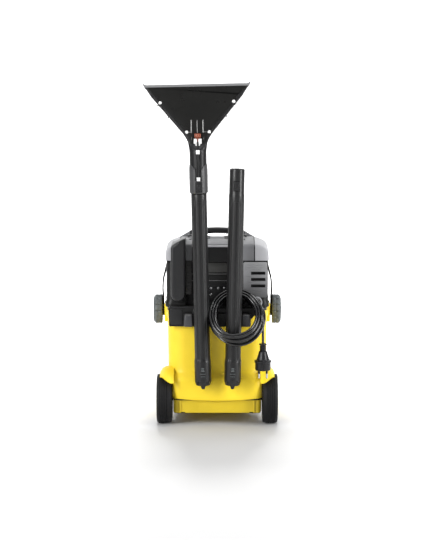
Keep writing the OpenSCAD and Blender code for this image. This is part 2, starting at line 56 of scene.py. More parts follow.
def plastic(name, color, rough=0.45, grain=1500.0, bump=0.12, vary=0.06, spec=0.5, streak=None,
            coat=0.0, metallic=0.0, rvar=0.08, big=18.0, dust=0.0, bdist=0.0002, alpha=1.0, transmission=0.0, painted_light_by_height=None):
    m = bpy.data.materials.new(name)
    m.use_nodes = True
    nt = m.node_tree
    b = nt.nodes["Principled BSDF"]
    b.inputs["Metallic"].default_value = metallic
    s = _sock(b, "Specular IOR Level", "Specular")
    if s: s.default_value = spec
    if coat:
        b.inputs["Coat Weight"].default_value = coat
        b.inputs["Coat Roughness"].default_value = 0.12
    if transmission:
        b.inputs["Transmission Weight"].default_value = transmission
    if alpha < 1:
        b.inputs["Alpha"].default_value = alpha
    tc = nt.nodes.new("ShaderNodeTexCoord")
    # broad colour variation of the moulding
    n1 = nt.nodes.new("ShaderNodeTexNoise"); n1.inputs["Scale"].default_value = big
    n1.inputs["Detail"].default_value = 4; n1.inputs["Roughness"].default_value = 0.6
    nt.links.new(tc.outputs["Object"], n1.inputs["Vector"])
    ramp = nt.nodes.new("ShaderNodeValToRGB")
    ramp.color_ramp.elements[0].position = 0.3
    ramp.color_ramp.elements[1].position = 0.7
    c0 = [max(0, c * (1 - vary)) for c in color]
    c1 = [min(1, c * (1 + vary)) for c in color]
    ramp.color_ramp.elements[0].color = (*c0, 1)
    ramp.color_ramp.elements[1].color = (*c1, 1)
    nt.links.new(n1.outputs["Fac"], ramp.inputs["Fac"])
    out_col = ramp.outputs["Color"]
    if painted_light_by_height:
        # painted light and shade by height: colour scaled from the factor at z0 to the factor at z1 (z0, z1, factor at
        # z0, factor at z1)
        sz = nt.nodes.new("ShaderNodeSeparateXYZ"); nt.links.new(tc.outputs["Object"], sz.inputs[0])
        mz = nt.nodes.new("ShaderNodeMapRange")
        mz.inputs["From Min"].default_value = painted_light_by_height[0]; mz.inputs["From Max"].default_value = painted_light_by_height[1]
        mz.inputs["To Min"].default_value = painted_light_by_height[2]; mz.inputs["To Max"].default_value = painted_light_by_height[3]
        nt.links.new(sz.outputs["Z"], mz.inputs["Value"])
        vm = nt.nodes.new("ShaderNodeVectorMath"); vm.operation = "SCALE"
        nt.links.new(out_col, vm.inputs[0]); nt.links.new(mz.outputs[0], vm.inputs["Scale"])
        out_col = vm.outputs[0]
    if dust:
        # a little dust settles on faces that look up
        geo = nt.nodes.new("ShaderNodeNewGeometry")
        sep = nt.nodes.new("ShaderNodeSeparateXYZ")
        nt.links.new(geo.outputs["Normal"], sep.inputs[0])
        n3 = nt.nodes.new("ShaderNodeTexNoise"); n3.inputs["Scale"].default_value = 60
        nt.links.new(tc.outputs["Object"], n3.inputs["Vector"])
        mr = nt.nodes.new("ShaderNodeMapRange")
        mr.inputs["From Min"].default_value = 0.3; mr.inputs["From Max"].default_value = 1.0
        mr.inputs["To Min"].default_value = 0.0; mr.inputs["To Max"].default_value = dust
        nt.links.new(sep.outputs["Z"], mr.inputs["Value"])
        mul = nt.nodes.new("ShaderNodeMath"); mul.operation = "MULTIPLY"
        nt.links.new(mr.outputs[0], mul.inputs[0]); nt.links.new(n3.outputs["Fac"], mul.inputs[1])
        mix = nt.nodes.new("ShaderNodeMixRGB")
        nt.links.new(mul.outputs[0], mix.inputs["Fac"])
        nt.links.new(out_col, mix.inputs["Color1"])
        mix.inputs["Color2"].default_value = (0.45, 0.44, 0.42, 1)
        out_col = mix.outputs["Color"]
    nt.links.new(out_col, b.inputs["Base Color"])
    # roughness in soft patches
    n2 = nt.nodes.new("ShaderNodeTexNoise"); n2.inputs["Scale"].default_value = big * 3.1
    n2.inputs["Detail"].default_value = 3
    nt.links.new(tc.outputs["Object"], n2.inputs["Vector"])
    mr2 = nt.nodes.new("ShaderNodeMapRange")
    mr2.inputs["To Min"].default_value = max(0.03, rough - rvar); mr2.inputs["To Max"].default_value = min(1, rough + rvar)
    nt.links.new(n2.outputs["Fac"], mr2.inputs["Value"])
    nt.links.new(mr2.outputs[0], b.inputs["Roughness"])
    # fine grain
    if bump:
        g = nt.nodes.new("ShaderNodeTexNoise"); g.inputs["Scale"].default_value = grain
        g.inputs["Detail"].default_value = 2
        src = tc.outputs["Object"]
        if streak:
            mp = nt.nodes.new("ShaderNodeMapping"); mp.inputs["Scale"].default_value = streak
            nt.links.new(src, mp.inputs["Vector"]); src = mp.outputs[0]
        nt.links.new(src, g.inputs["Vector"])
        bp = nt.nodes.new("ShaderNodeBump"); bp.inputs["Strength"].default_value = bump
        bp.inputs["Distance"].default_value = bdist
        nt.links.new(g.outputs["Fac"], bp.inputs["Height"])
        nt.links.new(bp.outputs["Normal"], b.inputs["Normal"])
    return m

M = {}
# the yellow is darkened below 58-66 mm height: painted shade in the recessed band under the lip of the base
M["yellow"] = plastic("yellow_pp", (0.93, 0.68, 0.030), rough=0.42, grain=900, bump=0.10, vary=0.03, spec=0.35, painted_light_by_height=(0.058, 0.066, 0.72, 1.0))
# darker, more golden copy of the tub yellow for inner faces: painted shade; no part uses it
M["yellow_in"] = plastic("yellow_pp_inside", (0.80, 0.52, 0.022), rough=0.5, grain=700, bump=0.15, vary=0.06)
M["dark"] = plastic("charcoal_grain", (0.0065, 0.0066, 0.0065), rough=0.42, grain=1300, bump=0.3, vary=0.10, dust=0.02, spec=0.3)
M["dark_soft"] = plastic("charcoal_satin", (0.016, 0.0162, 0.0172), rough=0.36, grain=1600, bump=0.12, vary=0.07, dust=0.02, spec=0.36)
M["grey"] = plastic("grey_satin", (0.42, 0.422, 0.44), rough=0.42, grain=1300, bump=0.22, vary=0.05, dust=0.04, spec=0.3)
M["grey_matt"] = plastic("grey_matt", (0.115, 0.117, 0.122), rough=0.55, grain=900, bump=0.35, vary=0.06, spec=0.3)
M["knob"] = plastic("knob_grey", (0.115, 0.128, 0.130), rough=0.45, grain=1200, bump=0.25, vary=0.07, dust=0.04, spec=0.35)
M["black"] = plastic("black_satin", (0.0065, 0.0065, 0.007), rough=0.38, grain=1500, bump=0.15, vary=0.12, spec=0.32)
M["tube"] = plastic("tube_plastic", (0.0105, 0.0106, 0.011), rough=0.34, grain=500, bump=0.10, vary=0.10, streak=(1.0, 1.0, 0.06), spec=0.42)
M["spine"] = plastic("tube_spine", (0.008, 0.0081, 0.0085), rough=0.36, grain=700, bump=0.12, vary=0.1, spec=0.34)
M["tyre"] = plastic("tyre_rubber", (0.008, 0.008, 0.0085), rough=0.62, grain=700, bump=0.35, vary=0.16, dust=0.03, spec=0.22)
M["hub"] = plastic("hub_plastic", (0.020, 0.020, 0.021), rough=0.42, grain=1200, bump=0.25, vary=0.1, dust=0.08, spec=0.3)
M["cord"] = plastic("cord_sheath", (0.0045, 0.0045, 0.005), rough=0.2, grain=1200, bump=0.05, vary=0.15, spec=0.6, coat=0.35)
M["plug"] = plastic("plug_rubber", (0.006, 0.006, 0.0075), rough=0.36, grain=1300, bump=0.2, vary=0.15, spec=0.4)
M["steel"] = plastic("bright_steel", (0.60, 0.60, 0.61), rough=0.24, grain=600, bump=0.06, vary=0.05, metallic=1.0)
M["alu"] = plastic("cast_aluminium", (0.55, 0.55, 0.57), rough=0.42, grain=500, bump=0.3, vary=0.06, metallic=1.0)
M["white"] = plastic("white_plastic", (0.80, 0.80, 0.79), rough=0.38, grain=1200, bump=0.1, vary=0.03)
M["copper"] = plastic("spray_jet_copper", (0.30, 0.085, 0.045), rough=0.35, grain=900, bump=0.1, vary=0.1)
M["cover"] = plastic("smoke_cover", (0.008, 0.008, 0.0075), rough=0.3, grain=900, bump=0.04, vary=0.15, spec=0.3)
M["lip"] = plastic("lip_grey", (0.165, 0.166, 0.17), rough=0.5, grain=900, bump=0.25, vary=0.05)
M["smoke"] = plastic("tank_smoke", (0.05, 0.052, 0.058), rough=0.2, grain=700, bump=0.04, vary=0.08, coat=0.3)
M["red"] = plastic("switch_face", (0.04, 0.04, 0.043), rough=0.3, grain=1500, bump=0.1, vary=0.06)

# ------------------------------------------------------------------ camera, light, floor
cam_d = bpy.data.cameras.new("cam"); cam = bpy.data.objects.new("cam", cam_d)
sc.collection.objects.link(cam); sc.camera = cam
CAM_DIST, CAM_EL = 4.4, 8.0 * D2R
tgt = Vector((0.0044, -0.14, 0.381))
cam.location = tgt + CAM_DIST * Vector((0, -math.cos(CAM_EL), math.sin(CAM_EL)))
cam.rotation_euler = (tgt - cam.location).to_track_quat("-Z", "Y").to_euler()
cam_d.sensor_fit = "VERTICAL"; cam_d.sensor_height = 24
cam_d.lens = 24 * CAM_DIST / (540 * 0.00245)
cam_d.clip_end = 50

def area(name, loc, target, size, power, color=(1, 1, 1), shape="RECTANGLE", size_y=None):
    l = bpy.data.lights.new(name, "AREA"); o = bpy.data.objects.new(name, l)
    l.shape = shape; l.size = size
    if size_y: l.size_y = size_y
    l.energy = power; l.color = color
    o.location = loc
    o.rotation_euler = (Vector(target) - Vector(loc)).to_track_quat("-Z", "Y").to_euler()
    sc.collection.objects.link(o)
    return o

area("key_left", (-2.0, -2.4, 1.5), (0, -0.1, 0.35), 0.9, 84, size_y=2.2)
area("fill_right", (2.5, -1.5, 1.3), (0, -0.1, 0.35), 0.8, 76, size_y=2.2)
area("top", (0.0, -0.4, 2.8), (0, -0.1, 0.2), 1.6, 20, size_y=1.4)
shade = area("back_top", (0.0, 2.3, 2.5), (0, -0.1, 0.1), 1.2, 190, size_y=0.9)
area("backdrop_wash", (0.0, 1.2, 2.4), (0, 4.8, 1.2), 3.4, 420, size_y=1.0)
area("back_rim_r", (1.6, 1.6, 1.6), (0, 0, 0.4), 0.8, 9, size_y=1.6)
area("back_rim_l", (-1.6, 1.6, 1.6), (0, 0, 0.4), 0.8, 9, size_y=1.6)

w = bpy.data.worlds.new("studio"); sc.world = w; w.use_nodes = True
w.node_tree.nodes["Background"].inputs["Color"].default_value = (1, 1, 1, 1)
w.node_tree.nodes["Background"].inputs["Strength"].default_value = 0.30
sc.view_settings.view_transform = "Standard"

def floor_piece():
    me = bpy.data.meshes.new("floor"); o = bpy.data.objects.new("studio_floor", me)
    bm = bmesh.new()
    ys = [-6, 4.0] ; n = 16
    prof = [(-7.0, 0.0), (3.0, 0.0)]
    for i in range(1, n + 1):
        a = i / n * math.pi / 2
        prof.append((3.0 + 2.0 * math.sin(a), 2.0 - 2.0 * math.cos(a)))
    prof.append((5.0, 7.0))
    va = [bm.verts.new((-7, y, z)) for y, z in prof]; vb = [bm.verts.new((7, y, z)) for y, z in prof]
    for i in range(len(prof) - 1):
        bm.faces.new((va[i], va[i + 1], vb[i + 1], vb[i]))
    bm.to_mesh(me); bm.free()
    for p in me.polygons: p.use_smooth = True
    mt = bpy.data.materials.new("floor_paper"); mt.use_nodes = True
    b = mt.node_tree.nodes["Principled BSDF"]
    b.inputs["Base Color"].default_value = (0.50, 0.50, 0.50, 1); b.inputs["Roughness"].default_value = 0.9
    me.materials.append(mt)
    sc.collection.objects.link(o)
    return o
floor_ob = floor_piece()
# the light from behind only lays the soft shadow on the floor
only = bpy.data.collections.new("floor_only"); only.objects.link(floor_ob)
shade.light_linking.receiver_collection = only

# ------------------------------------------------------------------ modelling helpers (millimetres in, metres out)
I4 = Matrix.Identity(4)
def T(x, y, z): return Matrix.Translation((x, y, z))
def R(deg, ax): return Matrix.Rotation(deg * D2R, 4, ax)
TUBE_LEN, FAN_Z = 527.0, 568.0
def at_tube(s): return T(37 if s > 0 else -34, -208, 108) @ R(s * 1.2, "Y")
AT_FAN = at_tube(-1) @ T(0, 0, FAN_Z) @ R(-12, "X")
AT_COIL = T(48, -210, 278) @ R(-38, "X")

def rrect(hw, hl, r, n=8, cx=0.0, cy=0.0):
    r = min(r, hw - 0.01, hl - 0.01); out = []
    for qx, qy, a0 in ((1, 1, 0), (-1, 1, 90), (-1, -1, 180), (1, -1, 270)):
        for i in range(n + 1):
            a = (a0 + 90 * i / n) * D2R
            out.append((cx + qx * (hw - r) + r * math.cos(a), cy + qy * (hl - r) + r * math.sin(a)))
    return out

def add_loft(bm, rings, cap0=True, cap1=True, closed=False, mat=I4, mi=0):
    vs = []
    for ring in rings:
        vs.append([bm.verts.new((mat @ Vector(p)) * 0.001) for p in ring])
    n = len(rings[0]); m = len(vs); fs = []
    for i in range(m if closed else m - 1):
        a, b = vs[i], vs[(i + 1) % m]
        for k in range(n):
            fs.append(bm.faces.new((a[k], a[(k + 1) % n], b[(k + 1) % n], b[k])))
    if not closed:
        if cap0: fs.append(bm.faces.new(list(reversed(vs[0]))))
        if cap1: fs.append(bm.faces.new(vs[-1]))
    for f in fs: f.material_index = mi
    return vs

def add_rev(bm, prof, mat=I4, n=64, closed=True, mi=0):
    """prof: (r, z) points, a closed loop when closed is true, turned about z"""
    rings = []
    for k in range(n):
        c, s = math.cos(2 * math.pi * k / n), math.sin(2 * math.pi * k / n)
        rings.append([(max(r, 0.0) * c, max(r, 0.0) * s, z) for r, z in prof])
    vs = [[bm.verts.new((mat @ Vector(p)) * 0.001) for p in ring] for ring in rings]
    m = len(prof)
    for i in range(n):
        a, b = vs[i], vs[(i + 1) % n]
        for k in range(m if closed else m - 1):
            f = bm.faces.new((a[k], b[k], b[(k + 1) % m], a[(k + 1) % m])); f.material_index = mi
    return vs

def add_box(bm, x0, x1, y0, y1, z0, z1, mat=I4, mi=0, r=0.0):
    if r > 0:
        cx, cy, hw, hl = (x0 + x1) / 2, (y0 + y1) / 2, abs(x1 - x0) / 2, abs(y1 - y0) / 2
        e = min(r * 0.45, (z1 - z0) / 4)
        rings = []
        for z, g in ((z0, e), (z0 + e * 0.3, e * 0.3), (z0 + e, 0), (z1 - e, 0), (z1 - e * 0.3, e * 0.3), (z1, e)):
            rings.append([(x, y, z) for x, y in rrect(hw - g, hl - g, r, 5, cx, cy)])
        return add_loft(bm, rings, mat=mat, mi=mi)
    return add_loft(bm, [[(x0, y0, z), (x1, y0, z), (x1, y1, z), (x0, y1, z)] for z in (z0, z1)], mat=mat, mi=mi)

def add_tube(bm, pts, r, n=12, mi=0, caps=True):
    rings = []; up = None
    P = [Vector(p) for p in pts]
    for i, p in enumerate(P):
        t = (P[min(i + 1, len(P) - 1)] - P[max(i - 1, 0)]).normalized()
        if up is None: up = Vector((0, 0, 1)) if abs(t.z) < 0.9 else Vector((1, 0, 0))
        u = (up - t * up.dot(t)).normalized(); v = t.cross(u); up = u
        rr = r[i] if isinstance(r, (list, tuple)) else r
        rings.append([p + rr * (math.cos(2 * math.pi * k / n) * u + math.sin(2 * math.pi * k / n) * v) for k in range(n)])
    return add_loft(bm, rings, cap0=caps, cap1=caps, mi=mi)

def weldclean(bm, d=0.00001):
    bmesh.ops.remove_doubles(bm, verts=bm.verts, dist=d)
    bmesh.ops.recalc_face_normals(bm, faces=bm.faces)

def obj(name, bm, mats, body, nodes=(), sharp=35, bevel=0.0, seg=2, ang=32, clean=True):
    if clean: weldclean(bm)
    me = bpy.data.meshes.new(name); bm.to_mesh(me); bm.free()
    o = bpy.data.objects.new(name, me); sc.collection.objects.link(o)
    for m in ([mats] if isinstance(mats, str) else mats): me.materials.append(M[m])
    for p in me.polygons: p.use_smooth = True
    me.set_sharp_from_angle(angle=sharp * D2R)
    if bevel:
        b = o.modifiers.new("bevel", "BEVEL"); b.width = bevel / 1000; b.segments = seg
        b.limit_method = "ANGLE"; b.angle_limit = ang * D2R; b.harden_normals = True; b.use_clamp_overlap = True
    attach(o, body)
    if nodes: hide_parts(*nodes)
    return o

def bm_object(bm, name="tmp"):
    weldclean(bm)
    me = bpy.data.meshes.new(name); bm.to_mesh(me); bm.free()
    o = bpy.data.objects.new(name, me); sc.collection.objects.link(o)
    return o

def boolean(base, cuts, op="DIFFERENCE"):
    """base and cuts are bmeshes; returns a bmesh of base with every cut taken away"""
    o = bm_object(base, "base"); tmp = []
    for i, c in enumerate(cuts):
        k = bm_object(c, "cut%d" % i); tmp.append(k)
        md = o.modifiers.new("b%d" % i, "BOOLEAN"); md.object = k; md.operation = op; md.solver = "EXACT"
    bpy.context.view_layer.update()
    ev = o.evaluated_get(bpy.context.evaluated_depsgraph_get())
    me = bpy.data.meshes.new_from_object(ev)
    out = bmesh.new(); out.from_mesh(me)
    bpy.data.meshes.remove(me)
    for k in tmp + [o]:
        d = k.data; bpy.data.objects.remove(k); bpy.data.meshes.remove(d)
    return out

def lerp(a, b, t): return a + (b - a) * t
def arc_pts(c, r, a0, a1, n):
    return [(c[0] + r * math.cos(lerp(a0, a1, i / n) * D2R), c[1] + r * math.sin(lerp(a0, a1, i / n) * D2R)) for i in range(n + 1)]

# ------------------------------------------------------------------ tub
def tub():
    N = 10
    def ring(z, hw, y0, y1, r):
        # the lower edge of the base bulge sags towards the middle of the rear
        w = 1.0 if 63.0 < z < 80 else (0.5 if 80 < z < 90 else 0.0)
        P = rrect(hw, (y1 - y0) / 2, r, N, 0, (y0 + y1) / 2); Q = []
        for i, p in enumerate(P):
            q = P[(i + 1) % len(P)]; Q.append(p)
            if (i + 1) % (len(P) // 4) == 0:
                Q += [(lerp(p[0], q[0], k / 12), lerp(p[1], q[1], k / 12)) for k in range(1, 12)]
        return [(x, y, z + (w * (2.6 - 7.0 * (1 - min(1, abs(x) / 110) ** 2.2)) * max(0.0, min(1.0, (-100 - y) / 60.0)))) for x, y in Q]
    out = [ring(62.9, 101, -166, 174, 6), ring(35, 101.5, -166.5, 174.5, 6), ring(31.2, 102.4, -167.4, 175.4, 7), ring(30.2, 103.8, -168.8, 176.8, 8),
           ring(30.2, 106, -170.8, 178.6, 9.4), ring(31, 107.2, -172, 179.8, 10), ring(33, 107.8, -172.6, 180.4, 10), ring(60, 108.4, -173.2, 180.8, 10),
           ring(64, 108.8, -173.6, 181, 10.4), ring(65.2, 110, -176, 182.6, 14), ring(66.0, 111.4, -179, 184.6, 18), ring(67.4, 112.6, -181, 185.9, 21), ring(70, 113.1, -181.9, 186.4, 22), ring(78, 113.1, -182, 186.4, 22), ring(86, 113, -181.9, 186.4, 22)]
    # bulge of the base flows into the upper wall
    out += [ring(98, 113, -181.4, 186.6, 22.6), ring(108, 113.4, -180.6, 186.8, 24), ring(116, 114.4, -178.4, 187, 28), ring(122.5, 116.4, -174.2, 187, 35),
            ring(127, 118.6, -169.6, 187, 42), ring(131, 120, -166.4, 187.1, 43.4), ring(137, 120.8, -164.6, 187.3, 44), ring(150, 121.1, -164.2, 187.6, 44),
            ring(262, 122.5, -166.3, 190.4, 44), ring(264.5, 122.9, -166.7, 190.8, 44), ring(266.5, 124.4, -168.2, 192, 45.5), ring(268.5, 125, -168.9, 192.6, 46),
            ring(277.8, 125.1, -169, 192.7, 46), ring(279.8, 124.4, -168.3, 192, 45.5), ring(281, 123, -167, 191, 44.5), ring(281, 121, -165, 189, 43),
            ring(280, 119.6, -163.6, 187.6, 41), ring(277, 119, -163, 187, 40), ring(72, 103.2, -157, 173, 30)]
    bm = bmesh.new(); add_loft(bm, out)
    cuts = []
    for s in (-1, 1):
        c = bmesh.new()
        add_rev(c, [(0.01, 109.6), (63.5, 109.6), (65.2, 110.4), (66, 112), (66, 160), (0.01, 160)], mat=T(0, -140, 61) @ R(90 * s, "Y"), n=96)
        cuts.append(c)
        c = bmesh.new(); add_rev(c, [(0.001, -100), (5.02, -100), (5.02, 100), (0.001, 100)], mat=T(s * 110, -140, 61) @ R(90, "Y"), n=32); cuts.append(c)
    c = bmesh.new(); add_rev(c, [(0.001, 160), (22.05, 160), (22.05, 200), (0.001, 200)], mat=T(-45, 0, 215) @ R(-90, "X"), n=48); cuts.append(c)
    # notches of the lower rear band
    for x in (-84, 84):
        c = bmesh.new(); add_box(c, x - 5, x + 5, -190, -166.0, 20, 33.2, r=2.5); cuts.append(c)
    bm = boolean(bm, cuts)
    o = obj("tub_shell", bm, "yellow", "tub", ("tank_tub",), sharp=32, clean=False)
    # ribs, wells, sockets and ears
    bm = bmesh.new()
    for x in (-90.5, 90.5): add_box(bm, x - 2.0, x + 2.0, -176.4, -170, 32.6, 66.5, r=1.4)
    for s in (-1, 1):
        add_box(bm, s * 94 - 12.5, s * 94 + 12.5, -153, -127, 33, 65, r=3)
        for x in (-8, 8): add_box(bm, s * 94 + x - 1.5, s * 94 + x + 1.5, -127.5, -80, 45, 64, r=1)
        add_rev(bm, [(5.1, 52.2), (12, 52.2), (13, 53.2), (13, 64), (5.1, 64)], mat=T(s * 52, 118, 0), n=48)
        for a in range(0, 360, 90):
            add_box(bm, 12.6, 34, -1.4, 1.4, 55, 64, mat=T(s * 52, 118, 0) @ R(a + 45, "Z"), r=0.8)
        # ear that takes the bail's pivot
        prof = []
        e = bmesh.new()
        xa, xb = (121.5, 133.4) if s > 0 else (-133.4, -121.5)
        add_box(e, xa, xb, -22, 42, 232, 278.6, r=5)
        k1 = bmesh.new(); add_box(k1, s * 127.6 - 2.4, s * 127.6 + 2.4, -18, 38, 222, 302)
        k2 = bmesh.new(); add_rev(k2, [(0.001, -20), (9.2, -20), (9.2, 20), (0.001, 20)], mat=T(s * 132, 10, 261) @ R(90, "Y"), n=40)
        k3 = bmesh.new(); add_box(k3, s * 133 - 8, s * 133 + 8, 0.8, 19.2, 261, 301)
        e = boolean(e, [k1, k2, k3])
        me = bpy.data.meshes.new("t"); e.to_mesh(me); e.free(); bm.from_mesh(me); bpy.data.meshes.remove(me)
    add_rev(bm, [(22.05, 176), (25, 176), (25, 189.6), (24.2, 191), (22.05, 191)], mat=T(-45, 0, 215) @ R(-90, "X"), n=48)
    obj("tub_fittings", bm, "yellow", "tub", sharp=32)
    # side stiffening beads and front panel of the tub
    bm = bmesh.new()
    for s in (-1, 1):
        for y in (-52, 70, 122):
            add_tube(bm, [(s * (121.0 + 0.0108 * (z - 150)), y, z) for z in (136, 138, 150, 180, 205, 217, 219)], [0.4, 1.9, 2.2, 2.2, 2.2, 1.9, 0.4], n=10)
    obj("tub_beads", bm, "yellow", "tub", sharp=40)
tub()

def fender(s):
    # a mudguard over each rear wheel: height falls outward and the rear edge is cut on a slant
    xs = [(106.0, 79.6), (113, 80.6), (120, 80.8), (127, 79.6), (132.5, 77.0), (136.8, 73.2), (139.6, 68.6), (140.3, 66.4)]
    NA = 36
    def a0(x): return lerp(39, 62, max(0, min(1, (x - 112) / 28)) ** 1.7)
    def a1(x): return lerp(139, 132, max(0, min(1, (x - 113) / 27)))
    def pt(x, r, a):
        return (s * x, -140 - r * math.cos(a * D2R), 61 + r * math.sin(a * D2R))
    outer = [[pt(x, r, lerp(a0(x), a1(x), j / NA)) for j in range(NA + 1)] for x, r in xs]
    # rolled outer edge, then the inside
    inner = [[pt(x - 0.8 if i > 3 else x, r - (4.2 if i < 5 else 3.2), lerp(a0(x) , a1(x), j / NA)) for j in range(NA + 1)] for i, (x, r) in enumerate(xs)]
    for i in range(len(inner)):
        for j in range(NA + 1):
            p = Vector(inner[i][j]); q = Vector((p.x, -140, 61)); d = (p - q)
            if d.length < 66.6 and abs(p.x) > 108: d = d.normalized() * 66.6
            inner[i][j] = tuple(q + d)
    bm = bmesh.new()
    rings = []
    for j in range(NA + 1):
        ring = [outer[i][j] for i in range(len(xs))]
        e = Vector(outer[-1][j]); e2 = Vector(inner[-1][j])
        ring.append(tuple((e + e2) / 2 + Vector((s * 0.8, 0, 0))))
        ring += [inner[i][j] for i in range(len(xs) - 1, -1, -1)]
        rings.append(ring)
    add_loft(bm, rings)
    return bm
for s in (-1, 1):
    obj("fender_" + ("left" if s < 0 else "right"), fender(s), "yellow", "tub", sharp=38, bevel=0.8, ang=40)

# ------------------------------------------------------------------ rear wheels
def wheel(s):
    side = "left" if s < 0 else "right"
    body = "wheel_" + side
    A = T(s * 130, -140, 61) @ R(90 * s, "Y")
    bm = bmesh.new()
    pr = [(49.6, -17.2), (51.5, -18.3), (54.5, -18.9), (57, -18.4), (59.0, -16.6), (60.3, -13.6), (60.7, -11)]
    for z in (-10.4, -5.0, 0.4, 5.8):
        pr += [(60.95, z), (60.95, z + 3.6), (59.3, z + 3.9), (59.3, z + 5.1)]
    pr += [(60.7, 11.4), (60.3, 13.6), (59.0, 16.6), (57, 18.4), (54.5, 18.9), (51.5, 18.3), (49.6, 17.2)]
    add_rev(bm, pr, mat=A, n=120)
    for a in range(0, 360, 10):       # shoulder blocks
        for z in (-1, 1):
            add_box(bm, 57.6, 59.4, -1.7, 1.7, 12.6 if z > 0 else -18.0, 18.0 if z > 0 else -12.6, mat=A @ R(a, "Z"), r=0.7)
    o = obj("tyre_tread_" + side, bm, "tyre", body, ("tyre_" + side,), sharp=40)
    bm = bmesh.new()
    add_rev(bm, [(49.7, -16.8), (49.7, 16.8), (48.6, 17.6), (46.6, 17.4), (45.4, 15.8), (44.6, 9.4), (43.2, 8.2), (43.2, -5), (44.4, -7), (45.4, -15.8), (47.4, -17.4)], mat=A, n=96)
    add_rev(bm, [(5.06, -16.6), (14.4, -16.6), (15.2, -15.6), (16.2, -7), (16.8, 7), (15.8, 11.6), (14.6, 12.4), (5.06, 12.4)], mat=A, n=64)
    for a in range(0, 360, 60):       # six ribbed spokes
        B = A @ R(a + 30, "Z")
        add_loft(bm, [[(14, -7.4, -2.2), (44.4, -12.6, -4.4), (44.4, 12.6, -4.4), (14, 7.4, -2.2)], [(14, -7.0, 3.6), (44.4, -12.2, 4.2), (44.4, 12.2, 4.2), (14, 7.0, 3.6)]], mat=B)
        add_box(bm, 14, 44, -1.3, 1.3, 3, 8.2, mat=B, r=0.8)
        for w in (-1, 1):
            add_loft(bm, [[(15, w * 6.6 - 0.9, 2), (44.2, w * 11.6 - 0.9, 2), (44.2, w * 11.6 + 0.9, 2), (15, w * 6.6 + 0.9, 2)], [(15, w * 6.6 - 0.7, 7), (44.2, w * 11.6 - 0.7, 7), (44.2, w * 11.6 + 0.7, 7), (15, w * 6.6 + 0.7, 7)]], mat=B)
    obj("rim_spokes_" + side, bm, "hub", body, ("wheel_hub_" + side,), sharp=36, bevel=0.5)
    bm = bmesh.new()
    add_rev(bm, [(0.001, 12.6), (15.4, 12.6), (16, 13.4), (15.8, 15), (13.8, 16.4), (11, 17.4), (9.6, 18.9), (6, 19.3), (0.001, 19.4)], mat=A, n=64)
    obj("cap_" + side, bm, "knob", body, ("hub_cap_" + side,), sharp=40)
for s in (-1, 1): wheel(s)

# ------------------------------------------------------------------ head: base, motor housing, panels
M["grey_mid"] = plastic("grey_mid", (0.165, 0.167, 0.175), rough=0.44, grain=1100, bump=0.3, vary=0.05, spec=0.35)
# pale grey for the dome's rear edge strip: a painted highlight
M["edge"] = plastic("grey_edge", (0.46, 0.46, 0.48), rough=0.34, grain=1100, bump=0.15, vary=0.05, spec=0.4)
M["line"] = plastic("panel_edge", (0.10, 0.10, 0.10), rough=0.34, grain=1200, bump=0.1, vary=0.08, spec=0.5)
M["louvre"] = plastic("louvre_dark", (0.030, 0.030, 0.028), rough=0.45, grain=1000, bump=0.2, vary=0.1)
# the vent grey is scaled from 0.55 at 300 mm to 2.3 at 400 mm height: painted light falling on its upper part
M["vent"] = plastic("vent_grey", (0.125, 0.126, 0.130), rough=0.38, grain=1200, bump=0.25, vary=0.08, painted_light_by_height=(0.300, 0.400, 0.55, 2.3))
def ring2(z, hw, y0, y1, r, n=8, cx=0): return [(x, y, z) for x, y in rrect(hw, (y1 - y0) / 2, r, n, cx, (y0 + y1) / 2)]

def extrude_y(bm, poly, y0, y1, mat=I4, mi=0):
    return add_loft(bm, [[(x, y, z) for x, z in poly] for y in (y0, y1)], mat=mat, mi=mi)

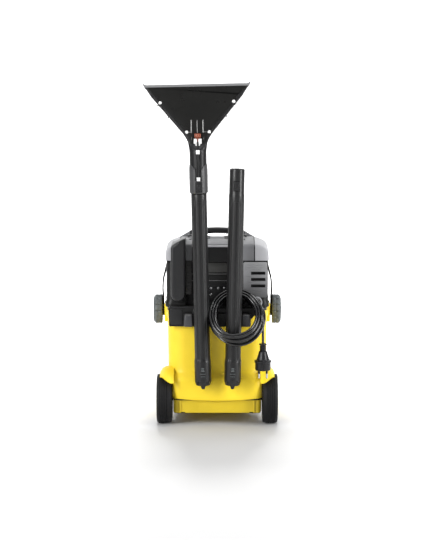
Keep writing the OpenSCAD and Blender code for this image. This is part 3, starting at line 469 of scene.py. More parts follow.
def head_plate():
    bm = bmesh.new()
    add_loft(bm, [ring2(269, 112.6, -155, 179, 34), ring2(269, 116.4, -159.4, 183.4, 38), ring2(284.2, 116.6, -159.6, 183.6, 38), ring2(284.2, 122.4, -166.4, 190.4, 43.5),
                  ring2(285.4, 123, -167, 191, 44), ring2(288, 123.3, -167.2, 191.2, 44), ring2(289.4, 122.6, -166.6, 190.6, 43.5), ring2(290.6, 122.6, -166.6, 190.6, 43.5), ring2(292, 123.3, -167.2, 191.2, 44),
                  ring2(294.4, 123, -167, 191, 44), ring2(295.8, 121.6, -165.6, 189.6, 43), ring2(296.2, 119.6, -163.6, 187.6, 41), ring2(295.4, 118.4, -162.4, 186.4, 40), ring2(290.2, 118, -162, 186, 39.6)])
    for s in (-1, 1):       # pivot lugs reaching down into the tub's ears
        add_rev(bm, [(8.1, -1.8), (13.4, -1.8), (14, -1.2), (14, 1.2), (13.4, 1.8), (8.1, 1.8)], mat=T(s * 127.6, 10, 261) @ R(90, "Y"), n=48)
        add_box(bm, s * 127.6 - 1.8, s * 127.6 + 1.8, -4, 24, 274.4, 295.6)
        add_box(bm, min(s * 113.6, s * 129.4), max(s * 113.6, s * 129.4), -4, 24, 286, 296, r=1.5)
    # floor drain ribs under the fresh-water tank
    for y in (60, 84, 140, 160): add_box(bm, -84, 84, y - 1.2, y + 1.2, 289.4, 290.2)
    cuts = []
    c = bmesh.new(); add_rev(c, [(0.001, -20), (15, -20), (15, 20), (0.001, 20)], mat=T(0, -60, 280), n=40); cuts.append(c)
    c = bmesh.new(); add_rev(c, [(0.001, -20), (8, -20), (8, 20), (0.001, 20)], mat=T(0, 110, 280), n=32); cuts.append(c)
    c = bmesh.new(); add_rev(c, [(0.001, 180), (5.1, 180), (5.1, 200), (0.001, 200)], mat=T(70, 0, 290) @ R(-90, "X"), n=32); cuts.append(c)
    bm = boolean(bm, cuts)
    obj("head_plate", bm, "dark", "head", ("head_base",), sharp=34, clean=False)
    # apron hanging over the rear of the tub
    bm = bmesh.new()
    P = [(-117.4, 248.6), (-116, 247), (72.6, 247), (75, 249), (80, 262), (94, 276), (98, 288), (98, 292), (60, 292), (-118.6, 292), (-118.6, 280)]
    extrude_y(bm, P, -177, -169.3)
    obj("apron", bm, "dark", "head", sharp=34, bevel=1.4, seg=3)
    bm = bmesh.new()
    for x0, x1, z0, z1 in ((-115.6, -85, 252, 291), (-60, -38, 250, 291), (40, 58, 250, 291)):
        add_box(bm, x0, x1, -4, 4, -1.0, 1.6, mat=T(0, -177.4, (z0 + z1) / 2) @ R(90, "X") @ Matrix.Diagonal((1, (z1 - z0) / 8.0, 1, 1)), r=3)
    add_box(bm, -118, -30, -174, -165.4, 289.6, 295.6, r=2)
    add_box(bm, -118, 97, -172.6, -165.4, 284.6, 291, r=2)
    obj("apron_panels", bm, "dark_soft", "head", sharp=36)

def housing():
    def outl(g=0.0, hw=126.0):
        # outline of the housing in plan with the rear recess, counter-clockwise
        P = []
        def corner(cx, cy, r, a0, a1, n=7):
            for i in range(n + 1):
                a = lerp(a0, a1, i / n) * D2R
                P.append((cx + (r) * math.cos(a), cy + (r) * math.sin(a)))
        yb = -150 + g; w = hw - g; w2 = 111 - g
        corner(-w + 16, yb + 16, 16, 180, 270)
        P.append((-78, yb)); P.append((-75 + g, yb + 3)); P.append((-75 + g, -138 + g)); P.append((-72 + g, -135 + g))
        P.append((59 - g, -135 + g)); P.append((62 - g, -138 + g)); P.append((62 - g, yb + 3)); P.append((65, yb))
        corner(w - 16, yb + 16, 16, 270, 360)
        P.append((w, -16)); P.append((w - 2, -13.4)); P.append((w2, -12)); corner(w2 - 12, 22 - g, 12, 0, 90)
        corner(-w2 + 12, 22 - g, 12, 90, 180); P.append((-w2, -12)); P.append((-w + 2, -13.4)); P.append((-w, -16))
        return P
    bm = bmesh.new()
    st = [(290.2, 0.5), (291, 0), (296.6, 0), (300, 0.4), (306, 2.2), (309, 2.6), (399.6, 2.6), (401, 3.4), (404, 3.6), (412, 3.8)]
    add_loft(bm, [[(x, y, z) for x, y in outl(g, 127.4)] for z, g in st])
    cuts = []
    for s in (-1, 1):       # side vents
        for i in range(6):
            c = bmesh.new(); z = 312 + 13 * i
            add_box(c, -3, 3, -26, 26, 0, 12, mat=T(s * 121.5, -88, z) @ R(90 * s, "Y"), r=2.8); cuts.append(c)
    for z in (343.5, 359.5, 375):      # slots through the rear of the shell
        c = bmesh.new(); add_box(c, -118.4, -82, -160, -146, z - 3.0, z + 3.0); cuts.append(c)
        c = bmesh.new(); add_box(c, 82, 118.6, -160, -144, z - 4.2, z + 4.2); cuts.append(c)
    c = bmesh.new(); add_box(c, -118.4, -82, -160, -146, 320, 326); cuts.append(c)
    for z in (385, 369.5, 354, 350, 318):   # fine steps across the recessed back
        c = bmesh.new(); add_box(c, -73, 60, -136.2, -133.6, z - 0.8, z + 0.8); cuts.append(c)
    bm = boolean(bm, cuts)
    obj("motor_shell", bm, "dark", "head", ("motor_housing",), sharp=34, clean=False)
    bm = bmesh.new()
    # light catches on the edges of the recessed back panels
    add_box(bm, -73.4, 60.4, -138.4, -134.6, 401.2, 404, r=1)
    add_box(bm, -73.4, 60.4, -137.2, -134.6, 369.8, 371.4)
    add_box(bm, -73.4, 60.4, -137.0, -134.6, 353.2, 354.8)
    obj("back_panel_lines", bm, "line", "head", sharp=36, bevel=0.3)
    bm = bmesh.new()
    add_box(bm, -60, 48, -136.4, -134.6, 374, 399, r=1.4)
    obj("back_panel_plate", bm, "louvre", "head", sharp=36, bevel=0.4)
    # louvres beside the duct cover
    bm = bmesh.new()
    for i in range(9):
        z = 329 + i * 8
        add_loft(bm, [[(-76.8, -150.2, z), (-76.8, -152.6, z - 0.6), (-76.8, -152.6, z - 2.6), (-76.8, -150.2, z - 3.4)],
                      [(-63, -150.2, z), (-63, -152.6, z - 0.6), (-63, -152.6, z - 2.6), (-63, -150.2, z - 3.4)]], mat=T(0, 0.6, 0))
    add_box(bm, -77, -62.6, -151, -148, 322, 404, r=1)
    obj("louvres_rear", bm, "louvre", "head", sharp=34, bevel=0.3)
    # blades behind the side vents
    bm = bmesh.new()
    for s in (-1, 1):
        for i in range(6):
            z = 312 + 13 * i
            add_loft(bm, [[(s * 121, y, z - 3.4), (s * 114, y, z + 1.4), (s * 114, y, z + 3.4), (s * 121, y, z - 1.4)] for y in (-114, -62)])
    obj("vent_blades", bm, "black", "head", sharp=34, bevel=0.3)

def vent():
    bm = bmesh.new()
    P = rrect(29, 43.6, 5, 6, 93, 358.6)
    extrude_y(bm, P, -154, -149.6)
    cuts = []
    for z in (343.5, 359.5, 375):
        c = bmesh.new(); extrude_y(c, rrect(17.6, 3.8, 1.0, 4, 100.2, z), -160, -140); cuts.append(c)
    c = bmesh.new(); add_rev(c, [(0.001, -170), (14.6, -170), (14.6, -140), (0.001, -140)], mat=T(96, 0, 303) @ R(-90, "X"), n=64); cuts.append(c)
    for z in (384.6, 390, 394.5, 367.3, 351.5, 335.5, 331, 324):
        c = bmesh.new(); add_box(c, 60, 80 if 333 < z < 380 else 123, -155.4, -153.5, z - 0.55, z + 0.55); cuts.append(c)
    bm = boolean(bm, cuts)
    obj("vent_frame", bm, "vent", "head", ("vent_panel",), sharp=34, bevel=0.6, clean=False)
    bm = bmesh.new()
    add_rev(bm, [(10.2, -150), (10.2, -154.6), (10.8, -156.4), (12.2, -157), (13.8, -156.4), (14.4, -154.6), (14.4, -150)], mat=T(96, 0, 303) @ R(-90, "X") @ Matrix.Identity(4), n=72)
    obj("boss_ring", bm, "grey", "head", sharp=50)
    bm = bmesh.new()
    add_rev(bm, [(cr, -151.0) for cr in (3.4,)] + [(3.4, -165.9), (5.3, -165.9), (5.5, -163), (6.2, -162.6), (6.2, -161.6), (5.9, -161.2), (6.3, -160.6), (6.9, -160.2), (6.9, -159.2), (6.6, -158.8), (7.0, -158.2), (7.8, -157.8), (7.9, -156.6), (9.6, -156), (9.8, -151)], mat=T(96, 0, 303) @ R(-90, "X"), n=56)
    return obj("gland", bm, "plug", "head", ("cable_gland",), sharp=40)

def tongue():
    # rounded cover that runs down the left of the rear and wraps over the top
    bm = bmesh.new()
    half = [(-113, 326), (-113, 440), (-110.6, 445.6), (-101, 452), (-89, 458.4), (-81, 462), (-78, 461.4), (-77, 458.6), (-77, 326)]
    bot = [(-95 + 18 * math.cos(a * D2R), 326 + 18 * math.sin(a * D2R)) for a in range(-12, -180, -12)]
    P = half + bot
    c = (-95, 385)
    rings = []
    for y, g in ((-149.6, 0.0), (-170, 0.0), (-174.4, 0.5), (-176.8, 1.8), (-178, 4.2), (-178, 7)):
        ring = []
        for x, z in P:
            d = Vector((x - c[0], 0, 0)); 
            nx = x - math.copysign(min(g, abs(x - c[0])), x - c[0]) if abs(x - c[0]) > 1 else x
            nz = z + (g if z < 326 else (-g if z > 440 else 0))
            if z < 326:
                v = Vector((x + 95, z - 326)); v = v * ((18 - g) / 18); nx, nz = -95 + v.x, 326 + v.y
            ring.append((nx, y, nz))
        rings.append(ring)
    add_loft(bm, rings)
    o = obj("tongue_cover", bm, "dark_soft", "head", ("duct_cover",), sharp=38)
    bm = bmesh.new()
    # its run over the top of the dome
    prof = [(-112, 440.5), (-110, 445.2), (-101, 451), (-89, 456.5), (-82, 459.6), (-78, 458.4), (-77, 455), (-77, 440), (-112, 430)]
    add_loft(bm, [[(x, y, lerp(444.0, z, k)) if z > 445 else (x, y, z) for x, z in prof] for y, k in ((-150, 1.0), (-120, 0.95), (-96, 0.75), (-82, 0.42), (-76, 0.12))])
    obj("tongue_top", bm, "dark_soft", "head", sharp=40, bevel=1.0)

def dome():
    # low dome: it climbs from its rear edge to a flat crest, and its shoulders fall away steeply
    def crest(y):
        t = max(0.0, min(1.0, (y + 150.0) / 64.0)); return lerp(445.4, 450.4, 1 - (1 - t) ** 2.0)
    def sec(y, g):
        zt = crest(y); d = (zt - 445.4) / 5.0
        P = [(0, 0), (20, 0), (40, 0), (60, -0.1), (78, -0.4), (89, lerp(-0.8, -0.8, d)), (98, lerp(-1.8, -2.6, d)), (106, lerp(-3.6, -5.0, d)), (113, lerp(-6.0, -8.0, d)), (118, lerp(-8.6, -11.0, d)), (122, lerp(-12.0, -15.0, d)), (124.6, lerp(-15.6, -18.8, d)), (126, lerp(-19.6, -23, d)), (126.6, -31)]
        Q = [(x, zt + z) for x, z in P] + [(126.8, 405)]
        return [((x - g if x > g else x), z if z < 406 else z - g) for x, z in Q]
    ys = [(-151, 6.0), (-150.8, 3.4), (-149.8, 1.4), (-147.6, 0.3), (-144, 0), (-136, 0), (-128, 0), (-120, 0), (-112, 0), (-104, 0), (-96, 0), (-86, 0), (-60, 0), (-20, 0), (-14, 0.5), (-10, 2.0), (-8, 5)]
    def solid(g0, zb, dz=0.0):
        bm = bmesh.new(); rings = []
        for y, g in ys:
            P = [(x, z + dz) for x, z in sec(y, g + g0)]
            P = [(x, max(z, zb)) for x, z in P]; P[-1] = (P[-1][0], zb)
            L = [(-x, z) for x, z in reversed(P) if x > 0]
            rings.append([(x, y + (g0 if y < -80 else -g0), z) for x, z in L + P])
        add_loft(bm, rings); return bm
    def bx(*a):
        c = bmesh.new(); add_box(c, *a); return c
    keep = lambda x0, x1: [bx(-200, x0, -200, 50, 380, 480), bx(x1, 200, -200, 50, 380, 480)]
    hollow = lambda: solid(3.2, 400, -0.4)
    sw = lambda: [bx(s * 36 - 14.5, s * 36 + 14.5, -63.5, -26.5, 400, 480) for s in (-1, 1)]
    bm = boolean(solid(0, 405.6), keep(92.4, 200) + [hollow()])
    obj("dome_right", bm, "grey", "head", ("top_cover",), sharp=34, bevel=0.8, clean=False)
    bm = boolean(solid(0, 405.6), keep(-200, -92.4) + [hollow()])
    obj("dome_left", bm, "grey", "head", sharp=34, bevel=0.8, clean=False)
    bm = boolean(solid(0.5, 405.6), keep(-90.0, 90.0) + [hollow(), bx(-62, 62, -160, -147.2, 390, 438.0)] + sw())
    obj("dome_middle", bm, "grey_mid", "head", sharp=34, bevel=0.7, clean=False)
    # pale strip along the rear top edge of the dome: painted highlight where light catches the edge
    bm = bmesh.new()
    add_box(bm, -61.6, 61.6, -152.4, -148.6, 439.6, 443.6, r=1.4)
    obj("dome_edge", bm, "edge", "head", sharp=34, bevel=0.4)
    # black inner core that shows in the seams and in the gap below the dome: a dark body put where there is shade,
    # painted shade
    bm = boolean(solid(2.2, 403.0), [bx(-120, 120, -200, -148.4, 398, 420)] + sw())
    obj("dome_core", bm, "black", "head", sharp=34, clean=False)
    # rests for the folded hand grip
    bm = bmesh.new()
    for x in (-66, 66): add_box(bm, x - 3, x + 3, -90, -20, 447.0, 451.4, r=1.6)
    add_box(bm, -74, -62, -30, -14, 447.5, 454, r=3); add_box(bm, 62, 74, -30, -14, 447.5, 454, r=3)
    obj("dome_rests", bm, "dark_soft", "head", sharp=36)

# ------------------------------------------------------------------ bail, knobs, pins
OUT = [(0, 469), (40, 467), (63, 462), (78, 454), (92, 446), (106, 438), (117, 427), (124, 411), (127, 390), (130, 374), (134, 358), (138, 340), (139.5, 320), (139.5, 303), (138.4, 294), (138.4, 261)]
INN = [(0, 455), (40, 452.5), (60, 446.5), (72, 440), (86, 434), (98, 427), (110, 414), (119, 404), (123, 386), (126.4, 370), (130, 354), (134, 338), (135.6, 320), (135.4, 304), (134.3, 294), (134.3, 261)]
def smooth(P, k=5):
    out = []
    n = len(P)
    for i in range(n - 1):
        p0 = P[max(i - 1, 0)] if i > 0 else (-P[1][0], P[1][1]); p1, p2 = P[i], P[i + 1]; p3 = P[min(i + 2, n - 1)]
        for j in range(k):
            t = j / k
            out.append(tuple(0.5 * ((2 * p1[a]) + (-p0[a] + p2[a]) * t + (2 * p0[a] - 5 * p1[a] + 4 * p2[a] - p3[a]) * t * t + (-p0[a] + 3 * p1[a] - 3 * p2[a] + p3[a]) * t ** 3) for a in range(2)))
    out.append(P[-1]); return out
SO, SI = smooth(OUT), smooth(INN)
def bail_run(bm, i0, i1, s=1, grow=0.0, hd=None, gap=0.0):
    rings = []
    for i in range(i0, i1 + 1):
        o, n = Vector((SO[i][0], SO[i][1])), Vector((SI[i][0], SI[i][1]))
        c = (o + n) / 2; th = (o - n).length / 2 + grow; u = (o - n).normalized()
        h = hd(i) if hd else 10
        e = 0
        if i in (i0, i1) : e = gap
        ring = []
        for a, b in rrect(th - e, h - e, min(th * 0.72, 3.6), 5):
            p = c + u * a
            ring.append((s * p.x, 10 + b, p.y))
        rings.append(ring)
    add_loft(bm, rings)
def bail():
    def hd(i):
        x = SO[i][0]
        return 12.6 if x < 92 else lerp(12.6, 9.8, min(1, (x - 92) / 30))
    k = 5
    # indices: 0..k*2 grip, then shoulders, then arms
    bm = bmesh.new()
    gi = 2 * k
    rings = []
    idx = [(-1, i) for i in range(gi, 0, -1)] + [(1, i) for i in range(0, gi + 1)]
    for s, i in idx:
        o, n = Vector((s * SO[i][0], SO[i][1])), Vector((s * SI[i][0], SI[i][1]))
        c = (o + n) / 2; th = (o - n).length / 2; u = (o - n).normalized()
        rings.append([((c + u * a).x, 10 + b, (c + u * a).y) for a, b in rrect(th, 12.8, 5.2, 6)])
    add_loft(bm, rings)
    for x in range(-54, 55, 6):       # finger ribs under the grip
        zi = 454.9 - 0.00155 * x * x
        add_box(bm, x - 1.3, x + 1.3, -1.5, 21.5, zi - 0.9, zi + 2.0, r=1)
    obj("bail_grip", bm, "black", "bail", ("handle_bail",), sharp=40)
    bm = bmesh.new()
    for s in (-1, 1): bail_run(bm, gi, 6 * k, s, 0.0, hd, 0.5)
    obj("bail_shoulders", bm, "grey_matt", "bail", sharp=40)
    bm = bmesh.new()
    for s in (-1, 1):
        bail_run(bm, gi - 1, gi + 2, s, 0.7, lambda i: 13.3, 0.6)
        bail_run(bm, 6 * k, 15 * k, s, 0.0, hd, 0.3)
        add_rev(bm, [(8.1, 134.4), (16.4, 134.4), (17, 135), (17, 137.6), (16.4, 138.3), (8.1, 138.3)], mat=T(0, 10, 261) @ R(90 * s, "Y"), n=56)
    obj("bail_arms", bm, "dark", "bail", sharp=40)
bail()

def knob(s):
    side = "left" if s < 0 else "right"
    A = T(0, 10, 261) @ R(90 * s, "Y")
    prof = [(138.5, 26), (138.5, 34.4), (139.1, 36), (140.6, 36.9), (147.6, 37), (148.2, 36.4), (149.4, 36.4), (150, 37), (155.4, 36.9), (156.6, 36.1), (160.2, 32.2), (161.3, 30.6), (161.6, 28.6), (161.6, 24.6), (160.8, 23.2), (159.6, 22.6), (159.4, 20), (159.6, 12), (160.6, 9), (161.2, 6)]
    n = 14 * 16
    rings = []
    for x, r in prof:
        ring = []
        for k in range(n):
            a = 2 * math.pi * k / n; t = (k % 16) / 16.0
            d = abs(t - 0.5) * 16
            g = max(0.0, 1 - (d / 1.3) ** 2) * 1.9 if r > 27 else 0.0
            ring.append(((r - g) * math.cos(a), (r - g) * math.sin(a), x))
        rings.append(ring)
    bm = bmesh.new(); add_loft(bm, rings, mat=A)
    obj("grip_knob_" + side, bm, "knob", "bail", ("knob_" + side,), sharp=44)
for s in (-1, 1): knob(s)

# ------------------------------------------------------------------ fresh-water tank and filler cap
def fresh():
    bm = bmesh.new(); rings = []
    def y1(z): return min(175.8, 10 + math.sqrt(max(0, 167.8 ** 2 - (z - 261) ** 2)))
    zs = [(290.4, 3.0), (291.2, 1.2), (293, 0.3), (296, 0)] + [(296 + i * 5.0, 0) for i in range(1, 18)] + [(384.5, 0.6), (387.6, 1.8), (389.8, 3.8), (391.4, 6.6), (392, 10)]
    for z, g in zs:
        a, b = 40.2 + g, y1(z) - g
        rings.append([(x, y, z) for x, y in rrect(84.8 - g, (b - a) / 2, 22 - g * 0.3, 8, 0, (a + b) / 2)])
    add_loft(bm, rings)
    for z in (310, 326, 342, 358):       # moulded level ribs on the front
        b = y1(z)
        add_box(bm, -58, 58, b - 1.4, b + 0.5, z - 1.1, z + 1.1, r=0.9)
    add_rev(bm, [(24, 386), (29.4, 386), (30, 388), (30, 397.2), (29.2, 398), (24, 398)], mat=T(0, 96, 0), n=72)
    c = bmesh.new(); add_rev(c, [(0.001, 366), (23.95, 366), (23.95, 420), (0.001, 420)], mat=T(0, 96, 0), n=64)
    c2 = bmesh.new(); add_box(c2, -50, 50, 166, 190, 366, 374, r=3)
    bm = boolean(bm, [c])
    add_rev(bm, [(4.6, 284.3), (7, 284.3), (7.5, 285), (7.5, 291), (4.6, 291)], mat=T(0, 110, 0), n=40)
    obj("water_tank", bm, "smoke", "fresh_tank", ("fresh_tank",), sharp=36, clean=False)
    bm = bmesh.new()
    n = 12 * 12; prof = [(398.5, 27), (398.5, 29.6), (399.4, 30.8), (404.6, 30.9), (405.9, 30.2), (406.3, 28.4), (406.3, 24), (405.4, 22.6), (404.8, 20), (404.8, 5)]
    rings = []
    for z, r in prof:
        ring = []
        for k in range(n):
            a = 2 * math.pi * k / n; t = abs((k % 12) / 12.0 - 0.5) * 12
            g = max(0.0, 1 - (t / 2.6) ** 2) * 1.7 if r > 26 else 0.0
            ring.append(((r - g) * math.cos(a), (r - g) * math.sin(a), z))
        rings.append(ring)
    add_loft(bm, rings, mat=T(0, 96, 0))
    add_rev(bm, [(20, 388.2), (23.6, 388.2), (23.8, 389), (23.8, 399.4), (20, 399.4)], mat=T(0, 96, 0), n=64)
    add_box(bm, -17, 17, -3, 3, 404, 412, mat=T(0, 96, 0), r=2.6)
    obj("cap_filler", bm, "black", "filler_cap", ("filler_cap",), sharp=40)

head_plate(); housing(); vent_gland = vent(); tongue(); dome(); fresh()

# ------------------------------------------------------------------ suction tubes
def tube(s):
    side = "left" if s < 0 else "right"; A = at_tube(s); L = TUBE_LEN
    n = 96
    # (z, radius, groove depth, flat lift)
    st = [(2.2, 16.2, 0), (1.0, 16.6, 0), (0.6, 17.4, 0), (4.4, 18.6, 0), (9.0, 20.0, 0), (11.5, 20.3, 0), (58, 20.3, 0), (60.5, 20.2, 0.25), (64, 19.6, 0.8), (69, 19.05, 1.0), (76, 18.95, 1.0),
          (L - 92, 18.95, 1.0), (L - 84, 18.95, 0.9), (L - 76, 18.9, 0.3), (L - 73, 18.9, 0), (L - 62, 18.9, 0), (L - 60.4, 18.6, 0), (L - 59.4, 17.5 if s < 0 else 18.25, 0), (L - 2.4, 17.5 if s < 0 else 18.25, 0), (L - 0.8, 17.1 if s < 0 else 17.9, 0), (L, 16.6, 0),
          (L, 15.9, 0), (L - 1, 15.8, 0), (60, 15.8, 0), (52, 16.4, 0), (48, 17.5, 0), (3, 17.5, 0)]
    bm = bmesh.new(); rings = []
    for z, r, g in st:
        ring = []
        for k in range(n):
            a = 2 * math.pi * k / n; x, y = math.cos(a), math.sin(a)
            d = 0.0
            if g > 0:
                for ac in (-90 - 32, -90 + 32):        # two long grooves beside the spine
                    da = abs((math.degrees(a) - ac + 180) % 360 - 180)
                    d += g * 1.5 * max(0.0, 1 - (da / 6.0) ** 2)
                for ac in (-90 - 58, -90 + 58):
                    da = abs((math.degrees(a) - ac + 180) % 360 - 180)
                    d += g * 0.5 * max(0.0, 1 - (da / 4.5) ** 2)
            ring.append(((r - d) * x, (r - d) * y, z))
        rings.append(ring)
    add_loft(bm, rings, closed=True)
    if s > 0:
        c = bmesh.new(); add_box(c, -8, 8, -30, -10, L - 52, L - 28, r=3)
        bm = boolean(bm, [c], "DIFFERENCE"); bm2 = bm
        for v in bm2.verts: pass
    # the matrix is applied here so that the cut stays exact
    M4 = A.copy()
    for v in bm.verts:
        p = M4 @ (v.co * 1000.0); v.co = p * 0.001
    add_box(bm, -6, 6, 15.6, 27.4, 144, 166, mat=A, r=2)
    body = "tube_" + side
    obj("tube_skin_" + side, bm, "tube", body, ("suction_tube_" + side,), sharp=34, clean=False)
    # end boss with the outlet of the spray line, catches and collar lines at the foot
    bm = bmesh.new()
    add_loft(bm, [[(x, y, z) for x, y in rrect(hw, 3.4, 3.2, 6, 0, -18.4)] for z, hw in ((14, 8.6), (8, 8.6), (4.4, 8.2), (1.6, 6.6), (-1.2, 5.2), (-4.2, 4.6), (-5.8, 3.6), (-6.4, 2.2))], mat=A)
    for x in (-13.2, 13.2):
        add_box(bm, x - 2.0, x + 2.0, -17.4, -14.6, 6, 12, mat=A, r=1.2)
    obj("tube_foot_" + side, bm, "tube", body, sharp=40, bevel=0.4)
    bm = bmesh.new()
    def spine(z0, z1, w, top, base):
        P = []
        for t in range(-4, 5):
            x = w * t / 4; P.append((x, -(top - 0.9 * (t / 4) ** 2)))
        P += [(w + 0.8, -(base + 0.6)), (w + 0.9, -(base - 2.6)), (-w - 0.9, -(base - 2.6)), (-w - 0.8, -(base + 0.6))]
        return [[(x, y, z) for x, y in P] for z in (z0, z1)]
    add_loft(bm, spine(66, L - 78, 4.2, 21.4, 18.6), mat=A)
    add_loft(bm, [[(x, y if z > 60 else y - 0.2, z) for x, y in [(p[0], p[1]) for p in spine(0, 1, 5.2, 21.8, 19.9)[0]]] for z in (22, 63)], mat=A)
    obj("spray_spine_" + side, bm, "spine", body, ("spray_line_" + side,), sharp=30, bevel=0.35)
    # small catch window and rib marks at the foot
    bm = bmesh.new()
    for z, w in ((44.6, 3.2), (41.2, 3.6), (37.8, 4.0)): add_box(bm, -w, w, -22.7, -21.4, z - 0.9, z + 0.9, mat=A, r=0.6)
    for z, w in ((31, 6.6), (24.5, 5.4)): add_box(bm, -w, w, -22.5, -21.4, z - 0.5, z + 0.5, mat=A, r=0.4)
    obj("foot_ribs_" + side, bm, "knob", body, sharp=36)
for s in (-1, 1): tube(s)

def latch_right():
    A = at_tube(1); L = TUBE_LEN; bm = bmesh.new()
    add_box(bm, -6.8, 6.8, -17.3, -14.8, L - 51, L - 29, mat=A, r=2)
    for z in (L - 46, L - 42.5, L - 39, L - 35.5): add_box(bm, -4.4, 4.4, -18.4, -16.8, z - 0.8, z + 0.8, mat=A, r=0.6)
    obj("latch_spare_tube", bm, "dark_soft", "tube_latch", ("tube_latch",), sharp=36)
latch_right()

# ------------------------------------------------------------------ blocks that hold the tubes
def holder():
    bm = bmesh.new()
    for s in (-1, 1):
        x = s * 70
        add_loft(bm, [[(px, y, z) for px, y in rrect(hw, hl, 3.4, 6, x, yc)] for z, hw, hl, yc in
                      ((250, 10.0, 10.6, -190.6), (251, 10.8, 11.4, -190.8), (262, 10.6, 11.6, -190.8), (273, 9.8, 11.4, -190.6), (277.6, 9.0, 10.4, -190.2), (279.2, 7.8, 8.8, -189.8), (279.8, 6.2, 7.2, -189.4))])
    cuts = []
    for s in (-1, 1):
        c = bmesh.new(); add_rev(c, [(0.001, 82), (19.5, 82), (19.5, 222), (0.001, 222)], mat=at_tube(s), n=96); cuts.append(c)
    bm = boolean(bm, cuts)
    obj("holder_blocks", bm, "holder", "head", sharp=36, bevel=0.5, clean=False)
    bm = bmesh.new()
    P = rrect(82, 16, 5, 6, 0, 264)
    add_loft(bm, [[(x, y, z) for x, z in P] for y in (-177.05, -186.4)])
    cuts = []
    for s in (-1, 1):
        c = bmesh.new(); add_rev(c, [(0.001, 82), (19.5, 82), (19.5, 222), (0.001, 222)], mat=at_tube(s), n=96); cuts.append(c)
        c = bmesh.new(); add_box(c, -6.6, 6.6, 10, 31.4, 143, 203, mat=at_tube(s)); cuts.append(c)
    c = bmesh.new(); add_box(c, -30, 2, -200, -170, 262, 290); cuts.append(c)
    bm = boolean(bm, cuts)
    obj("holder_bar", bm, "dark", "head", ("tube_holder",), sharp=36, bevel=0.8, clean=False)
# faces that look up are mixed strongly towards pale grey (dust 0.35)
M["holder"] = plastic("holder_grey", (0.045, 0.046, 0.050), rough=0.42, grain=1200, bump=0.2, vary=0.08, dust=0.35)
holder()

# ------------------------------------------------------------------ floor nozzle
def fan_half():
    # half outline (x, z) of the fan: neck, flare, straight side, kink near the lip
    P = [(20.2, -2), (20.4, 8), (21.8, 17), (24.8, 26.5), (29.6, 36), (36.4, 46), (46, 57.6), (104.5, 128.5), (110, 135.5), (119.4, 150.2), (123.4, 156.4)]
    out = []
    n = len(P)
    for i in range(n - 1):
        p0 = P[max(i - 1, 0)]; p1, p2 = P[i], P[i + 1]; p3 = P[min(i + 2, n - 1)]
        k = 4 if i < 6 else (10 if i == 6 else 3)
        for j in range(k):
            t = j / k
            if i == 6 or i > 7: out.append((lerp(p1[0], p2[0], t), lerp(p1[1], p2[1], t))); continue
            out.append(tuple(0.5 * ((2 * p1[a]) + (-p0[a] + p2[a]) * t + (2 * p0[a] - 5 * p1[a] + 4 * p2[a] - p3[a]) * t * t + (-p0[a] + 3 * p1[a] - 3 * p2[a] + p3[a]) * t ** 3) for a in range(2)))
    out.append(P[-1]); return out
FH = fan_half()
def fan_poly(g):
    # inset by g, along the side normals
    R_ = []
    for i, (x, z) in enumerate(FH):
        a = FH[max(i - 1, 0)]; b = FH[min(i + 1, len(FH) - 1)]
        d = Vector((b[0] - a[0], b[1] - a[1])).normalized()
        R_.append((max(1.0, x - g * d.y), z + g * d.x * 0.9))
    return R_ + [(-x, z) for x, z in reversed(R_)]
SCREWS = [(-88, 118), (88, 118), (-26, 46), (28, 46)]
